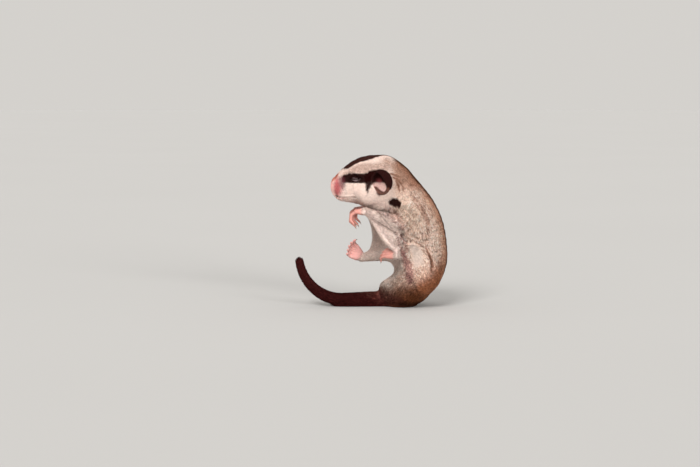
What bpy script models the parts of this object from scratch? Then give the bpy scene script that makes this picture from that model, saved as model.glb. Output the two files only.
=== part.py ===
"""Sugar glider joey, still and life-size, sitting hunched with its arms and legs reaching forward.

It faces -X, its left side is -Y, and it sits on the plane Z = 0. The origin is under the rump, in the
middle of the flat that it sits on. Sizes and places are in millimetres, and MM turns them into metres.
The body is one blended surface over tapered bones. It is then parted into its nodes with thin cuts.
"""

import math
from collections import namedtuple

import bmesh
import bpy
import numpy as np
from mathutils import Matrix, Vector

MM = 0.001
GAP = 0.3
VOXEL = 0.36
BODY_TRIANGLES = 6900
FAR_OFF = 5.0
SETTLE_ROUNDS = 6
SETTLE_LIMIT = 0.8
SETTLE_STEP = 0.02
REGION_VOXEL = 1.0
REGION_TRIANGLES = 150
CUT_CLEARANCE = 1.15
PAW_MARGIN = 0.5
LIMB_MARGIN = 0.6
THIGH_MARGIN = 1.5
SHARP_ANGLE = math.radians(50)

NEAR = -1
FAR = 1
SIDES = {"left": NEAR, "right": FAR}

Bone = namedtuple("Bone", "start end start_radius end_radius width")

# The trunk from the nape to the rump: x, y, z, radius, then how much wider than deep it is.
SPINE = (
    (-3.4, 0, 45.6, 7.9, 1.05),
    (1.6, 0, 39.3, 8.25, 1.15),
    (3.7, 0, 34.6, 9.2, 1.16),
    (5.2, 0, 29.0, 10.0, 1.14),
    (5.4, 0, 22.0, 10.9, 1.10),
    (5.0, 0, 16.5, 10.9, 1.12),
    (0.9, 0, 10.3, 10.6, 1.20),
)
GROIN = ((-2.5, 0, 5.0, 5.4, 1.4), (-0.5, 0, 13.0, 6.6, 1.3))
THROAT = ((-2.5, 0, 38.4, 7.4, 1.1), (-9.0, 0, 39.9, 4.8, 1.2), (-14.2, 0, 40.9, 3.2, 1.3))

# The hollow that the curled belly leaves between the arms and the legs: a round bar taken out sideways.
BELLY_HOLLOW = ((-9.4, -16, 16.8), (-9.4, 16, 16.8))
HOLLOW_RADIUS = 6.9
HOLLOW_ROUNDING = 3.0

# The skull from the back of the crown to the muzzle, and the lower jaw.
SKULL = (
    (-8.9, 0, 48.2, 9.6, 1.00),
    (-14.2, 0, 48.2, 9.1, 0.93),
    (-19.4, 0, 46.9, 7.2, 0.85),
    (-23.2, 0, 45.7, 5.1, 0.76),
    (-24.4, 0, 45.0, 3.3, 0.86),
)
JAW = ((-11.5, 0, 45.0, 6.4, 1.15), (-18.5, 0, 43.3, 4.0, 1.05), (-23.8, 0, 42.3, 2.3, 0.95))
CHEEK = (-13.8, 5.0, 43.6, 4.6)
WHISKER_PAD = (-23.4, 2.0, 44.3, 2.6)
BROW = (-16.4, 4.1, 50.6, 3.75)

NOSE_TOP = (-25.8, 0, 47.2, 1.65, 1.35)
NOSE_LOBE = (-26.5, 0.95, 45.2, 1.3)
NOSTRIL = ((-27.7, 1.05, 46.7), (-26.8, 2.0, 46.1))
NOSTRIL_RADIUS = 0.36

EYE_CENTRE = (-18.1, 4.5, 48.5)
EYE_RADIUS = 3.15
SLIT_HALF_LENGTH = 1.9
SLIT_HALF_HEIGHT = 0.42
LID_EDGE_RADIUS = 0.34
LID_EDGE_RISE = 0.62
LID_EDGE_SUNK = 0.12
EYE_HALF_SIZES = (1.7, 0.31, 0.45)
EYE_SUNK = 0.45

MOUTH = ((-26.6, 0.0, 42.3), (-25.2, 2.2, 41.8), (-22.4, 3.9, 41.3), (-19.2, 5.0, 41.7))
MOUTH_RADIUS = 0.26
LIP_RADIUS = 0.5
LIP_RISE = 0.68

# The ear is part of a thin ellipsoid shell. Its opening is cut lowest in front and at its foot, so that
# the back and the top fold over it like a hood. Its lip runs along the foot, in the ear's own directions.
EAR_CENTRE = (-9.0, 10.0, 47.8)
EAR_HALF_SIZES = (4.2, 4.5, 2.5)
EAR_OPENING = 0.7
EAR_TILT = (0.50, 0.30)
EAR_WALL = 0.75
EAR_TURN = math.radians(32)
EAR_LIP = ((-3.0, -2.9, -0.2), (-1.2, -4.1, 0.0), (1.1, -4.2, 0.5), (3.1, -2.9, 1.2))
EAR_LIP_RADIUS = 0.55
EAR_REACH = (-0.4, 1.6)
EAR_ROOT_MARGIN = 0.7

SHOULDER = (1.5, 7.2, 36.0, 4.7)
ELBOW = (-2.4, 9.4, 31.6, 3.5)
FOREARM_MIDDLE = (-8.6, 8.8, 34.0, 2.9)
WRIST = (-14.8, 6.3, 36.4, 1.75)
KNUCKLES = (-18.6, 5.0, 36.5, 1.35)
PALM_SIDE = (0.05, 0, -1)
HAND_SPREAD = 4.7
FINGER_LENGTH = 7.1
FINGER_CURL = (38, 48, 52)
FINGER_LENGTHS = (0.80, 0.97, 1.05, 1.0, 0.84)
FINGER_RADIUS = 0.62

HIP = (6.3, 6.2, 12.5, 7.0)
KNEE = {NEAR: (5.0, 10.6, 19.2, 4.9), FAR: (-3.6, 10.2, 19.6, 4.1)}
SHANK = {NEAR: (1.2, 10.9, 20.9, 3.5), FAR: (-9.8, 10.0, 18.6, 2.8)}
ANKLE = {NEAR: (-2.4, 10.0, 20.6, 2.2), FAR: (-16.2, 8.9, 17.5, 1.9)}
BALL = {NEAR: (-6.6, 7.6, 21.5, 1.35), FAR: (-20.0, 7.6, 20.6, 1.35)}
FOOT_SOLE = {NEAR: (-0.25, -0.80, -0.55), FAR: (0.45, -0.80, 0.10)}
FOOT_SPREAD = 4.9
TOE_LENGTH = 4.6
TOE_CURL = (14, 30, 42)
TOE_LENGTHS = (0.72, 0.86, 0.92, 1.05, 0.95)
TOE_RADIUS = 0.58

# How the palm's rays run, how a digit thins from knuckle to tip, and the short claw beyond it.
PALM_START = 0.25
PALM_THICKNESS = 0.75
KNUCKLE_SWELL = 1.25
KNUCKLE_ARC = 1.2
DIGIT_FAN = 0.35
DIGIT_TAPER = (1.0, 0.92, 0.86, 0.5)
CLAW_LENGTH = 0.8
CLAW_RADIUS = 0.25

# The gliding membrane from wrist to ankle: its free edge, and the line where it leaves the body.
MEMBRANE_EDGE = {
    NEAR: (
        (-14.0, 6.9, 35.0),
        (-11.5, 8.6, 31.4),
        (-8.3, 10.0, 26.4),
        (-4.9, 10.6, 22.8),
        (-2.4, 10.6, 20.9),
    ),
    FAR: (
        (-14.0, 6.9, 35.0),
        (-12.2, 9.0, 30.2),
        (-11.4, 10.4, 25.2),
        (-12.6, 10.4, 20.6),
        (-15.8, 9.2, 18.0),
    ),
}
MEMBRANE_ROOT = {
    NEAR: ((-8.8, 8.6, 34.0), (-4.6, 9.8, 30.6), (-1.6, 10.4, 27.0), (0.6, 10.8, 24.0), (1.6, 11.0, 21.8)),
    FAR: ((-8.8, 8.6, 34.0), (-4.4, 9.8, 30.6), (-2.6, 10.0, 25.6), (-5.0, 10.2, 21.0), (-9.4, 10.2, 19.0)),
}
MEMBRANE_HALF_THICKNESS = 0.45
MEMBRANE_HEM = 0.75

# The tail lies straight along the floor and then bends up along an arc.
TAIL_ROOT = (-3.6, 0, 4.6, 4.9)
TAIL_START_X = -9.0
TAIL_BEND_X = -23.3
TAIL_BEND_RADIUS = 17.0
TAIL_SWEEP = math.radians(80)
TAIL_RADII = (3.5, 2.7, 1.95)
TAIL_SIDE_SWAY = 1.6
TAIL_STEPS = 22

# The flat cuts that part the trunk: centre, direction across the cut, and half the cutter's width.
TIP_CUT_ANGLE = math.radians(38)
TRUNK_CUTS = (
    ((-3.0, 0, 44.6), (0.83, 0, -0.56), 15),
    ((1.4, 0, 38.0), (0.445, 0, -0.895), 15),
    ((-9.4, 0, 4.5), (1, 0, 0.2), 7.5),
    ((-20.0, 0, 3.0), (1, 0, 0), 5),
    (
        (
            TAIL_BEND_X - TAIL_BEND_RADIUS * math.sin(TIP_CUT_ANGLE),
            0,
            TAIL_RADII[1] + TAIL_BEND_RADIUS * (1 - math.cos(TIP_CUT_ANGLE)),
        ),
        (math.cos(TIP_CUT_ANGLE), 0, -math.sin(TIP_CUT_ANGLE)),
        5,
    ),
)

# Roughly the middle of each piece of the trunk after the cuts.
HOMES = {
    "head": (-14, 0, 47),
    "neck": (-2, 0, 42),
    "torso": (4, 0, 21),
    "tail_base": (-14, 0, 3),
    "tail_middle": (-27, 0, 4),
    "tail_tip": (-38, 0, 14),
}
SCRAP_POINTS = 30

COLOURS = {
    "head": (0.62, 0.50, 0.42),
    "neck": (0.40, 0.32, 0.27),
    "torso": (0.36, 0.29, 0.24),
    "tail": (0.05, 0.02, 0.02),
    "ear": (0.45, 0.26, 0.24),
    "eye": (0.02, 0.01, 0.01),
    "arm": (0.42, 0.36, 0.34),
    "leg": (0.44, 0.37, 0.33),
    "paw": (0.78, 0.45, 0.42),
    "membrane": (0.75, 0.66, 0.60),
}
FUR_ROUGHNESS = 0.85
WET_ROUGHNESS = 0.15


def flipped(point, side):
    """A place given for the far side, moved to the side asked for."""
    return (point[0], side * point[1], *point[2:])


def smooth_rows(rows, steps):
    """More rows along the same route, on a Catmull-Rom curve through the given ones."""
    rows = np.array(rows, float)
    ends = np.vstack([2 * rows[0] - rows[1], rows, 2 * rows[-1] - rows[-2]])
    found = []
    for before, start, end, after in zip(ends, ends[1:], ends[2:], ends[3:]):
        for t in np.arange(steps) / steps:
            found.append(
                0.5
                * (
                    2 * start
                    + (end - before) * t
                    + (2 * before - 5 * start + 4 * end - after) * t**2
                    + (3 * start - before - 3 * end + after) * t**3
                )
            )
    return np.array([*found, rows[-1]])


def chain(rows, steps=3):
    """Bones along rows of x, y, z and radius, and of width where a fifth value gives it."""
    full = [tuple(row) if len(row) == 5 else (*row, 1.0) for row in rows]
    smooth = smooth_rows(full, steps)
    return [
        Bone(tuple(a[:3]), tuple(b[:3]), a[3], b[3], (a[4] + b[4]) / 2)
        for a, b in zip(smooth, smooth[1:])
    ]


def ball(row):
    """One round mass: a bone of no length to speak of."""
    x, y, z, radius = row[:4]
    width = row[4] if len(row) == 5 else 1.0
    return [Bone((x, y, z), (x + 0.01, y, z), radius, radius, width)]


def thread(points, radius, steps=3):
    """A thin bone of one radius along a curve through points."""
    return chain([(*point, radius) for point in points], steps)


def tail_rows():
    """Rows along the tail: straight on the floor, then along the arc."""
    straight = TAIL_START_X - TAIL_BEND_X
    length = straight + TAIL_BEND_RADIUS * TAIL_SWEEP
    rows = [TAIL_ROOT]
    for along in np.linspace(0, length, TAIL_STEPS):
        share = along / length
        radius = np.interp(share, (0, 0.5, 1), TAIL_RADII)
        angle = max(0, along - straight) / TAIL_BEND_RADIUS
        x = TAIL_START_X - min(along, straight) - TAIL_BEND_RADIUS * math.sin(angle)
        z = TAIL_RADII[1] * 0.96 + TAIL_BEND_RADIUS * (1 - math.cos(angle))
        rows.append((x, -TAIL_SIDE_SWAY * math.sin(math.pi * share), z, radius))
    return rows


def digits(root, knuckle, palm_side, spread, lengths, curl, radius):
    """The bones of one paw: a palm from root to knuckle, and digits that curl towards palm_side."""
    root_at, knuckle_at = Vector(root[:3]), Vector(knuckle[:3])
    forward = (knuckle_at - root_at).normalized()
    palm_side = Vector(palm_side)
    palm_side = (palm_side - palm_side.dot(forward) * forward).normalized()
    across = forward.cross(palm_side)
    bones = []
    for i, length in enumerate(lengths):
        offset = i / (len(lengths) - 1) - 0.5
        joint = knuckle_at + across * spread * offset - forward * abs(offset) * KNUCKLE_ARC
        start = root_at.lerp(knuckle_at, PALM_START) + across * spread * offset * DIGIT_FAN
        palm = root[3] * PALM_THICKNESS
        bones.append(Bone(tuple(start), tuple(joint), palm, radius * KNUCKLE_SWELL, 1.0))
        angle = 0
        for bend, thick, thin in zip(curl, DIGIT_TAPER, DIGIT_TAPER[1:]):
            angle += math.radians(bend)
            lean = across * offset * DIGIT_FAN
            way = forward * math.cos(angle) + palm_side * math.sin(angle) + lean
            end = joint + way * length / len(curl)
            bones.append(Bone(tuple(joint), tuple(end), radius * thick, radius * thin, 1.0))
            joint = end
        claw = joint + way.normalized() * CLAW_LENGTH
        bones.append(Bone(tuple(joint), tuple(claw), radius * thin, CLAW_RADIUS, 1.0))
    return bones


def upper_arm(side):
    return chain([flipped(p, side) for p in (SHOULDER, ELBOW)], 4)


def forearm(side):
    return chain([flipped(p, side) for p in (ELBOW, FOREARM_MIDDLE, WRIST)])


def hand(side):
    wrist, knuckles = flipped(WRIST, side), flipped(KNUCKLES, side)
    lengths = [FINGER_LENGTH * share for share in FINGER_LENGTHS]
    return digits(wrist, knuckles, PALM_SIDE, HAND_SPREAD, lengths, FINGER_CURL, FINGER_RADIUS)


def thigh(side):
    return chain([flipped(HIP, side), flipped(KNEE[side], side)], 4)


def shank(side):
    return chain([flipped(p, side) for p in (KNEE[side], SHANK[side], ANKLE[side])])


def foot(side):
    ankle, knuckles = flipped(ANKLE[side], side), flipped(BALL[side], side)
    sole = flipped(FOOT_SOLE[side], side)
    lengths = [TOE_LENGTH * share for share in TOE_LENGTHS]
    return digits(ankle, knuckles, sole, FOOT_SPREAD, lengths, TOE_CURL, TOE_RADIUS)


def membrane_triangles(side):
    """The membrane's middle surface, two triangles between each pair of its ribs."""
    edge = smooth_rows([flipped(p, side) for p in MEMBRANE_EDGE[side]], 2)
    root = smooth_rows([flipped(p, side) for p in MEMBRANE_ROOT[side]], 2)
    found = []
    for a, b, c, d in zip(edge, edge[1:], root, root[1:]):
        found += [(a, b, c), (b, d, c)]
    return found


def hem(side):
    return thread([flipped(p, side) for p in MEMBRANE_EDGE[side]], MEMBRANE_HEM)


def eye_axes(side):
    """The slit's centre on the lids, its outward direction and its two directions across."""
    centre = Vector(flipped(EYE_CENTRE, side))
    outward = Vector((-0.30, side * 0.95, 0.05)).normalized()
    up = Vector((0, 0, 1))
    along = up.cross(outward).normalized()
    return centre + outward * EYE_RADIUS, outward, along, outward.cross(along)


def slit_route(side, rise):
    """Points along the slit between the lids, or along a lid's edge that far above or below it."""
    centre, outward, along, up = eye_axes(side)
    route = []
    for share in (-1, -0.5, 0, 0.5, 1):
        back = (1 - math.cos(share * SLIT_HALF_LENGTH / EYE_RADIUS)) * EYE_RADIUS
        across = along * share * SLIT_HALF_LENGTH - outward * (back + abs(rise) * LID_EDGE_SUNK)
        route.append(tuple(centre + across + up * rise * (1 - share**2)))
    return route


def raised(points, rise):
    return [(x, y, z + rise) for x, y, z in points]


def trunk_masses():
    """The masses beside the spine that the belly's hollow is cut out of."""
    return [(chain(GROIN), 4.0), (chain(THROAT), 3.0)]


def masses():
    """Each mass of flesh on the trunk, with how far it blends into what it meets."""
    found = [
        (chain(SKULL), 3.0),
        (chain(JAW), 2.0),
        (ball(NOSE_TOP), 0.9),
        (chain(tail_rows(), 1), 3.0),
    ]
    for side in (NEAR, FAR):
        found += [
            (ball(flipped(CHEEK, side)), 3.0),
            (ball(flipped(BROW, side)), 3.0),
            (ball(flipped(WHISKER_PAD, side)), 1.2),
            (ball(flipped(NOSE_LOBE, side)), 0.5),
            (ball((*flipped(EYE_CENTRE, side), EYE_RADIUS)), 1.2),
            (thread(slit_route(side, LID_EDGE_RISE), LID_EDGE_RADIUS), 0.4),
            (thread(slit_route(side, -LID_EDGE_RISE), LID_EDGE_RADIUS), 0.4),
            (thread(raised([flipped(p, side) for p in MOUTH], LIP_RISE), LIP_RADIUS), 0.8),
            (thread(raised([flipped(p, side) for p in MOUTH], -LIP_RISE), LIP_RADIUS), 0.8),
            (upper_arm(side) + forearm(side), 2.4),
            (hand(side), 0.7),
            (thigh(side), 3.0),
            (shank(side), 1.6),
            (foot(side), 0.7),
            (hem(side), 0.8),
        ]
    return found


def grooves():
    """Each line or pit in the surface, with how softly its edge rounds over."""
    found = []
    for side in (NEAR, FAR):
        found += [
            (thread([flipped(p, side) for p in MOUTH], MOUTH_RADIUS), 0.35),
            (thread([flipped(p, side) for p in NOSTRIL], NOSTRIL_RADIUS), 0.25),
            (thread(slit_route(side, 0), SLIT_HALF_HEIGHT), 0.25),
        ]
    return found


def bone_distance(points, bone):
    """How far points lie outside a tapered bone, measured with its width taken out."""
    squeeze = np.array((1, 1 / bone.width, 1))
    start, end = np.array(bone.start) * squeeze, np.array(bone.end) * squeeze
    axis = end - start
    from_start = points * squeeze - start
    along = np.clip(from_start @ axis / (axis @ axis), 0, 1)
    radius = bone.start_radius + (bone.end_radius - bone.start_radius) * along
    return np.linalg.norm(from_start - along[:, None] * axis, axis=1) - radius


def nearby(points, ends, margin):
    """Which points lie in the box round the given ends, grown by a margin."""
    ends = np.array(ends)
    return np.all((points > ends.min(axis=0) - margin) & (points < ends.max(axis=0) + margin), axis=1)


def bones_distance(points, bones):
    """How far points lie outside the nearest bone, or no limit for those well away from all of them."""
    widest = max(max(bone.start_radius, bone.end_radius) * max(bone.width, 1) for bone in bones)
    near = nearby(points, [end for bone in bones for end in (bone.start, bone.end)], widest + FAR_OFF)
    found = np.full(len(points), np.inf)
    if near.any():
        found[near] = np.min([bone_distance(points[near], bone) for bone in bones], axis=0)
    return found


def blended(first, second, reach):
    """The nearer of two distances, with the crease between them filled."""
    closeness = np.clip(reach - np.abs(first - second), 0, None) / reach
    return np.minimum(first, second) - closeness**2 * reach / 4


def triangle_distance(points, corners):
    """How far points lie from a flat triangle."""
    corners = [np.array(corner, float) for corner in corners]
    normal = np.cross(corners[1] - corners[0], corners[2] - corners[0])
    inside = np.ones(len(points), bool)
    nearest = np.full(len(points), np.inf)
    for start, end in zip(corners, corners[1:] + corners[:1]):
        edge = end - start
        offset = points - start
        inside &= offset @ np.cross(normal, edge) >= 0
        along = np.clip(offset @ edge / (edge @ edge), 0, 1)
        nearest = np.minimum(nearest, np.linalg.norm(offset - along[:, None] * edge, axis=1))
    flat = np.abs((points - corners[0]) @ normal) / np.linalg.norm(normal)
    return np.where(inside, flat, nearest)


def sheet_distance(points, triangles, half_thickness):
    near = nearby(points, [corner for triangle in triangles for corner in triangle], FAR_OFF)
    found = np.full(len(points), np.inf)
    if near.any():
        found[near] = np.min([triangle_distance(points[near], t) for t in triangles], axis=0) - half_thickness
    return found


def ear_frame(side):
    """A matrix whose rows are the ear's backward, upward and outward directions."""
    outward = Vector((-math.sin(EAR_TURN), side * math.cos(EAR_TURN), -0.06)).normalized()
    backward = Vector((math.cos(EAR_TURN), side * math.sin(EAR_TURN), 0))
    upward = backward.cross(outward) * side
    return np.array((backward, upward, outward))


def ear_lip(side):
    """The bones of the rolled lip along the ear's foot."""
    centre = np.array(flipped(EAR_CENTRE, side))
    return thread([tuple(centre + np.array(place) @ ear_frame(side)) for place in EAR_LIP], EAR_LIP_RADIUS)


def ellipsoid_distance(local, half_sizes):
    half_sizes = np.array(half_sizes)
    near = np.linalg.norm(local / half_sizes, axis=1)
    slope = np.linalg.norm(local / half_sizes**2, axis=1)
    return near * (near - 1) / np.maximum(slope, 1e-9)


def with_ear(found, points, side):
    """The distance found so far, with the ear's bowl taken out and its cup and lip added."""
    centre = np.array(flipped(EAR_CENTRE, side))
    near = nearby(points, [centre], max(EAR_HALF_SIZES) + FAR_OFF)
    if near.any():
        local = (points[near] - centre) @ ear_frame(side).T
        middle = ellipsoid_distance(local, EAR_HALF_SIZES)
        beyond = local @ np.array((-EAR_TILT[0], -EAR_TILT[1], 1)) - EAR_OPENING
        cup = -blended(EAR_WALL / 2 - np.abs(middle), -beyond, 0.4)
        bowl = middle + EAR_WALL / 2
        lip = bones_distance(points[near], ear_lip(side))
        hollowed = -blended(-found[near], bowl, 0.6)
        found[near] = blended(hollowed, blended(cup, lip, 0.5), 0.8)
    return found


def body_distance(points):
    """How far points lie outside the whole blended body."""
    found = np.min([bone_distance(points, bone) for bone in chain(SPINE)], axis=0)
    for bones, reach in trunk_masses():
        found = blended(found, bones_distance(points, bones), reach)
    hollow = bones_distance(points, thread(BELLY_HOLLOW, HOLLOW_RADIUS, 1))
    found = -blended(-found, hollow, HOLLOW_ROUNDING)
    for bones, reach in masses():
        found = blended(found, bones_distance(points, bones), reach)
    for side in (NEAR, FAR):
        membrane = sheet_distance(points, membrane_triangles(side), MEMBRANE_HALF_THICKNESS)
        found = with_ear(blended(found, membrane, 1.0), points, side)
    for bones, rounding in grooves():
        found = -blended(-found, bones_distance(points, bones), rounding)
    return found


def link(mesh_object, collection):
    """Puts an object in a collection, and shows it as wires if that is the one for cutters."""
    collection.objects.link(mesh_object)
    if collection.hide_render:
        mesh_object.hide_render = True
        mesh_object.display_type = "WIRE"
    return mesh_object


def object_from(bm, name, collection):
    mesh = bpy.data.meshes.new(name)
    bm.to_mesh(mesh)
    bm.free()
    return link(bpy.data.objects.new(name, mesh), collection)


def add_hull(bm, centres, radii, width):
    """Adds a closed piece: the hull of spheres of the given radii."""
    piece = bmesh.new()
    for centre, radius in zip(centres, radii):
        placed = Matrix.Translation(Vector(centre) * MM) @ Matrix.Diagonal((1, width, 1, 1))
        bmesh.ops.create_icosphere(piece, subdivisions=2, radius=radius * MM, matrix=placed)
    hull = bmesh.ops.convex_hull(piece, input=piece.verts[:])
    inner = [part for part in hull["geom_interior"] if isinstance(part, bmesh.types.BMVert)]
    bmesh.ops.delete(piece, geom=inner, context="VERTS")
    copied = bpy.data.meshes.new("bone")
    piece.to_mesh(copied)
    piece.free()
    bm.from_mesh(copied)
    bpy.data.meshes.remove(copied)


def add_bones(bm, bones, grow=0.0):
    for bone in bones:
        radii = (bone.start_radius + grow, bone.end_radius + grow)
        add_hull(bm, (bone.start, bone.end), radii, bone.width)


def add_sheet(bm, triangles, half_thickness):
    """A closed prism for each triangle of a sheet."""
    for triangle in triangles:
        corners = [Vector(corner) for corner in triangle]
        normal = (corners[1] - corners[0]).cross(corners[2] - corners[0]).normalized()
        places = [corner + normal * half_thickness * way for corner in corners for way in (-1, 1)]
        made = [bm.verts.new(place * MM) for place in places]
        bmesh.ops.convex_hull(bm, input=made)


def add_ear(bm, side, collection):
    """Adds the ear's cup as a closed piece: an ellipsoid cut open and given a wall."""
    cup = bmesh.new()
    bmesh.ops.create_uvsphere(cup, u_segments=32, v_segments=20, radius=1)
    bmesh.ops.scale(cup, vec=Vector(EAR_HALF_SIZES) * MM, verts=cup.verts)
    everything = cup.verts[:] + cup.edges[:] + cup.faces[:]
    opening, beyond = (0, 0, EAR_OPENING * MM), (-EAR_TILT[0], -EAR_TILT[1], 1)
    bmesh.ops.bisect_plane(cup, geom=everything, plane_co=opening, plane_no=beyond, clear_outer=True)
    turned = Matrix(ear_frame(side).T.tolist()).to_4x4()
    moved = Matrix.Translation(Vector(flipped(EAR_CENTRE, side)) * MM)
    bmesh.ops.transform(cup, matrix=moved @ turned, verts=cup.verts)
    made = object_from(cup, "ear_cup", collection)
    wall = made.modifiers.new("wall", "SOLIDIFY")
    wall.thickness = EAR_WALL * MM
    wall.offset = 0
    apply_modifiers(made)
    bm.from_mesh(made.data)
    remove(made)


def apply_modifiers(mesh_object):
    graph = bpy.context.evaluated_depsgraph_get()
    result = bpy.data.meshes.new_from_object(mesh_object.evaluated_get(graph))
    mesh_object.modifiers.clear()
    old = mesh_object.data
    mesh_object.data = result
    bpy.data.meshes.remove(old)


def remove(mesh_object):
    mesh = mesh_object.data
    bpy.data.objects.remove(mesh_object)
    bpy.data.meshes.remove(mesh)


def remesh(mesh_object, voxel):
    """Fuses the object's closed pieces into one even surface."""
    fuse = mesh_object.modifiers.new("fuse", "REMESH")
    fuse.mode = "VOXEL"
    fuse.voxel_size = voxel * MM
    apply_modifiers(mesh_object)


def settle(mesh_object, distance):
    """Moves every point of the mesh onto the surface where the distance is nought."""
    mesh = mesh_object.data
    points = np.empty(len(mesh.vertices) * 3)
    mesh.vertices.foreach_get("co", points)
    points = points.reshape(-1, 3) / MM
    steps = SETTLE_STEP * np.eye(3)
    for _ in range(SETTLE_ROUNDS):
        here = distance(points)
        slope = np.stack([distance(points + step) - here for step in steps], axis=1) / SETTLE_STEP
        steepness = np.maximum((slope**2).sum(axis=1), 0.2)
        points -= np.clip(here / steepness, -SETTLE_LIMIT, SETTLE_LIMIT)[:, None] * slope
    mesh.vertices.foreach_set("co", (points * MM).ravel())
    mesh.update()


def thin_out(mesh_object, triangles):
    """Collapses edges where the surface is flattest, down to a number of triangles."""
    mesh_object.data.calc_loop_triangles()
    present = len(mesh_object.data.loop_triangles)
    if present <= triangles:
        return
    collapse = mesh_object.modifiers.new("collapse", "DECIMATE")
    collapse.ratio = triangles / present
    collapse.use_collapse_triangulate = True
    apply_modifiers(mesh_object)


def islands(bm):
    """The sets of points that hang together."""
    unseen, found = set(bm.verts), []
    while unseen:
        island, front = set(), [unseen.pop()]
        while front:
            vertex = front.pop()
            island.add(vertex)
            for edge in vertex.link_edges:
                other = edge.other_vert(vertex)
                if other in unseen:
                    unseen.discard(other)
                    front.append(other)
        found.append(island)
    return found


def keep_largest(mesh_object):
    """Drops loose scraps, so that one closed surface is left."""
    bm = bmesh.new()
    bm.from_mesh(mesh_object.data)
    largest = max(islands(bm), key=len)
    bmesh.ops.delete(bm, geom=[v for v in bm.verts if v not in largest], context="VERTS")
    bm.to_mesh(mesh_object.data)
    bm.free()


def add_trunk(bm, collection):
    """Adds the spine's masses as one closed piece, with the belly's hollow taken out."""
    whole, bar = bmesh.new(), bmesh.new()
    add_bones(whole, chain(SPINE))
    for bones, _ in trunk_masses():
        add_bones(whole, bones)
    add_bones(bar, thread(BELLY_HOLLOW, HOLLOW_RADIUS, 1))
    trunk, hollow = object_from(whole, "trunk", collection), object_from(bar, "hollow", collection)
    remesh(trunk, VOXEL)
    boolean(trunk, hollow, "DIFFERENCE")
    bm.from_mesh(trunk.data)
    remove(trunk)
    remove(hollow)


def whole_body(collection):
    """The blended body as one closed surface."""
    bm = bmesh.new()
    add_trunk(bm, collection)
    for bones, _ in masses():
        add_bones(bm, bones)
    for side in (NEAR, FAR):
        add_bones(bm, ear_lip(side))
        add_sheet(bm, membrane_triangles(side), MEMBRANE_HALF_THICKNESS)
        add_ear(bm, side, collection)
    body = object_from(bm, "body", collection)
    remesh(body, VOXEL)
    settle(body, body_distance)
    keep_largest(body)
    thin_out(body, BODY_TRIANGLES)
    return body


def boolean(mesh_object, cutter, operation):
    cut = mesh_object.modifiers.new("cut", "BOOLEAN")
    cut.operation = operation
    cut.object = cutter
    cut.solver = "MANIFOLD"
    apply_modifiers(mesh_object)


def region(name, bones, sheet, margin, collection):
    """A closed cutter that holds one limb: its bones and its sheet, grown by a margin."""
    bm = bmesh.new()
    add_bones(bm, bones, margin)
    add_sheet(bm, sheet, MEMBRANE_HALF_THICKNESS + margin)
    cutter = object_from(bm, name, collection)
    remesh(cutter, REGION_VOXEL)
    thin_out(cutter, REGION_TRIANGLES)
    return cutter


def slab(name, centre, normal, half_size, collection):
    """A flat cutter as thick as the gap, square to normal."""
    bm = bmesh.new()
    bmesh.ops.create_cube(bm, size=2)
    bmesh.ops.scale(bm, vec=Vector((half_size, half_size, GAP / 2)) * MM, verts=bm.verts)
    turn = Vector(normal).to_track_quat("Z", "Y").to_matrix().to_4x4()
    bmesh.ops.transform(bm, matrix=Matrix.Translation(Vector(centre) * MM) @ turn, verts=bm.verts)
    return object_from(bm, name, collection)


def take(body, name, bones, margin, parts, cutters, sheet=()):
    """Takes the part of the body inside a limb's region as its own object, and leaves a gap round it."""
    cutter = region(name + "_region", bones, sheet, margin, cutters)
    piece = link(bpy.data.objects.new(name, body.data.copy()), parts)
    boolean(piece, cutter, "INTERSECT")
    keep_largest(piece)
    widen = cutter.modifiers.new("widen", "DISPLACE")
    widen.mid_level = 0
    widen.strength = GAP * CUT_CLEARANCE * MM
    apply_modifiers(cutter)
    boolean(body, cutter, "DIFFERENCE")
    remove(cutter)
    return piece


def floor_cut(mesh_object, cutters):
    """Cuts a piece off flat at the floor."""
    bm = bmesh.new()
    bmesh.ops.create_cube(bm, size=200 * MM, matrix=Matrix.Translation((0, 0, -100 * MM)))
    block = object_from(bm, "floor_block", cutters)
    boolean(mesh_object, block, "DIFFERENCE")
    remove(block)


def material(name, colour, roughness):
    made = bpy.data.materials.new(name)
    made.use_nodes = True
    shader = made.node_tree.nodes["Principled BSDF"]
    shader.inputs["Base Color"].default_value = (*colour, 1)
    shader.inputs["Roughness"].default_value = roughness
    shader.inputs["Metallic"].default_value = 0
    return made


def finish(mesh_object, kind, roughness=FUR_ROUGHNESS):
    mesh_object.data.materials.clear()
    mesh_object.data.materials.append(material(mesh_object.name + "_" + kind, COLOURS[kind], roughness))
    mesh_object.data.shade_smooth()
    mesh_object.data.set_sharp_from_angle(angle=SHARP_ANGLE)


def eye(name, side, grow, collection):
    """The sliver of the eye between the lids, or its pocket, which is that much larger all round."""
    centre, outward, along, up = eye_axes(side)
    bm = bmesh.new()
    bmesh.ops.create_uvsphere(bm, u_segments=12, v_segments=8, radius=1)
    half_sizes = Vector(EYE_HALF_SIZES) + Vector((grow, grow, grow))
    bmesh.ops.scale(bm, vec=half_sizes * MM, verts=bm.verts)
    turn = Matrix((along, up, outward)).transposed().to_4x4()
    sunk = centre - outward * EYE_SUNK
    bmesh.ops.transform(bm, matrix=Matrix.Translation(sunk * MM) @ turn, verts=bm.verts)
    return object_from(bm, name, collection)


def set_eyes(head, parts, cutters):
    for word, side in SIDES.items():
        pocket = eye("eye_pocket", side, GAP, cutters)
        boolean(head, pocket, "DIFFERENCE")
        remove(pocket)
        finish(eye(f"eye_{word}", side, 0, parts), "eye", WET_ROUGHNESS)
    keep_largest(head)


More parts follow.
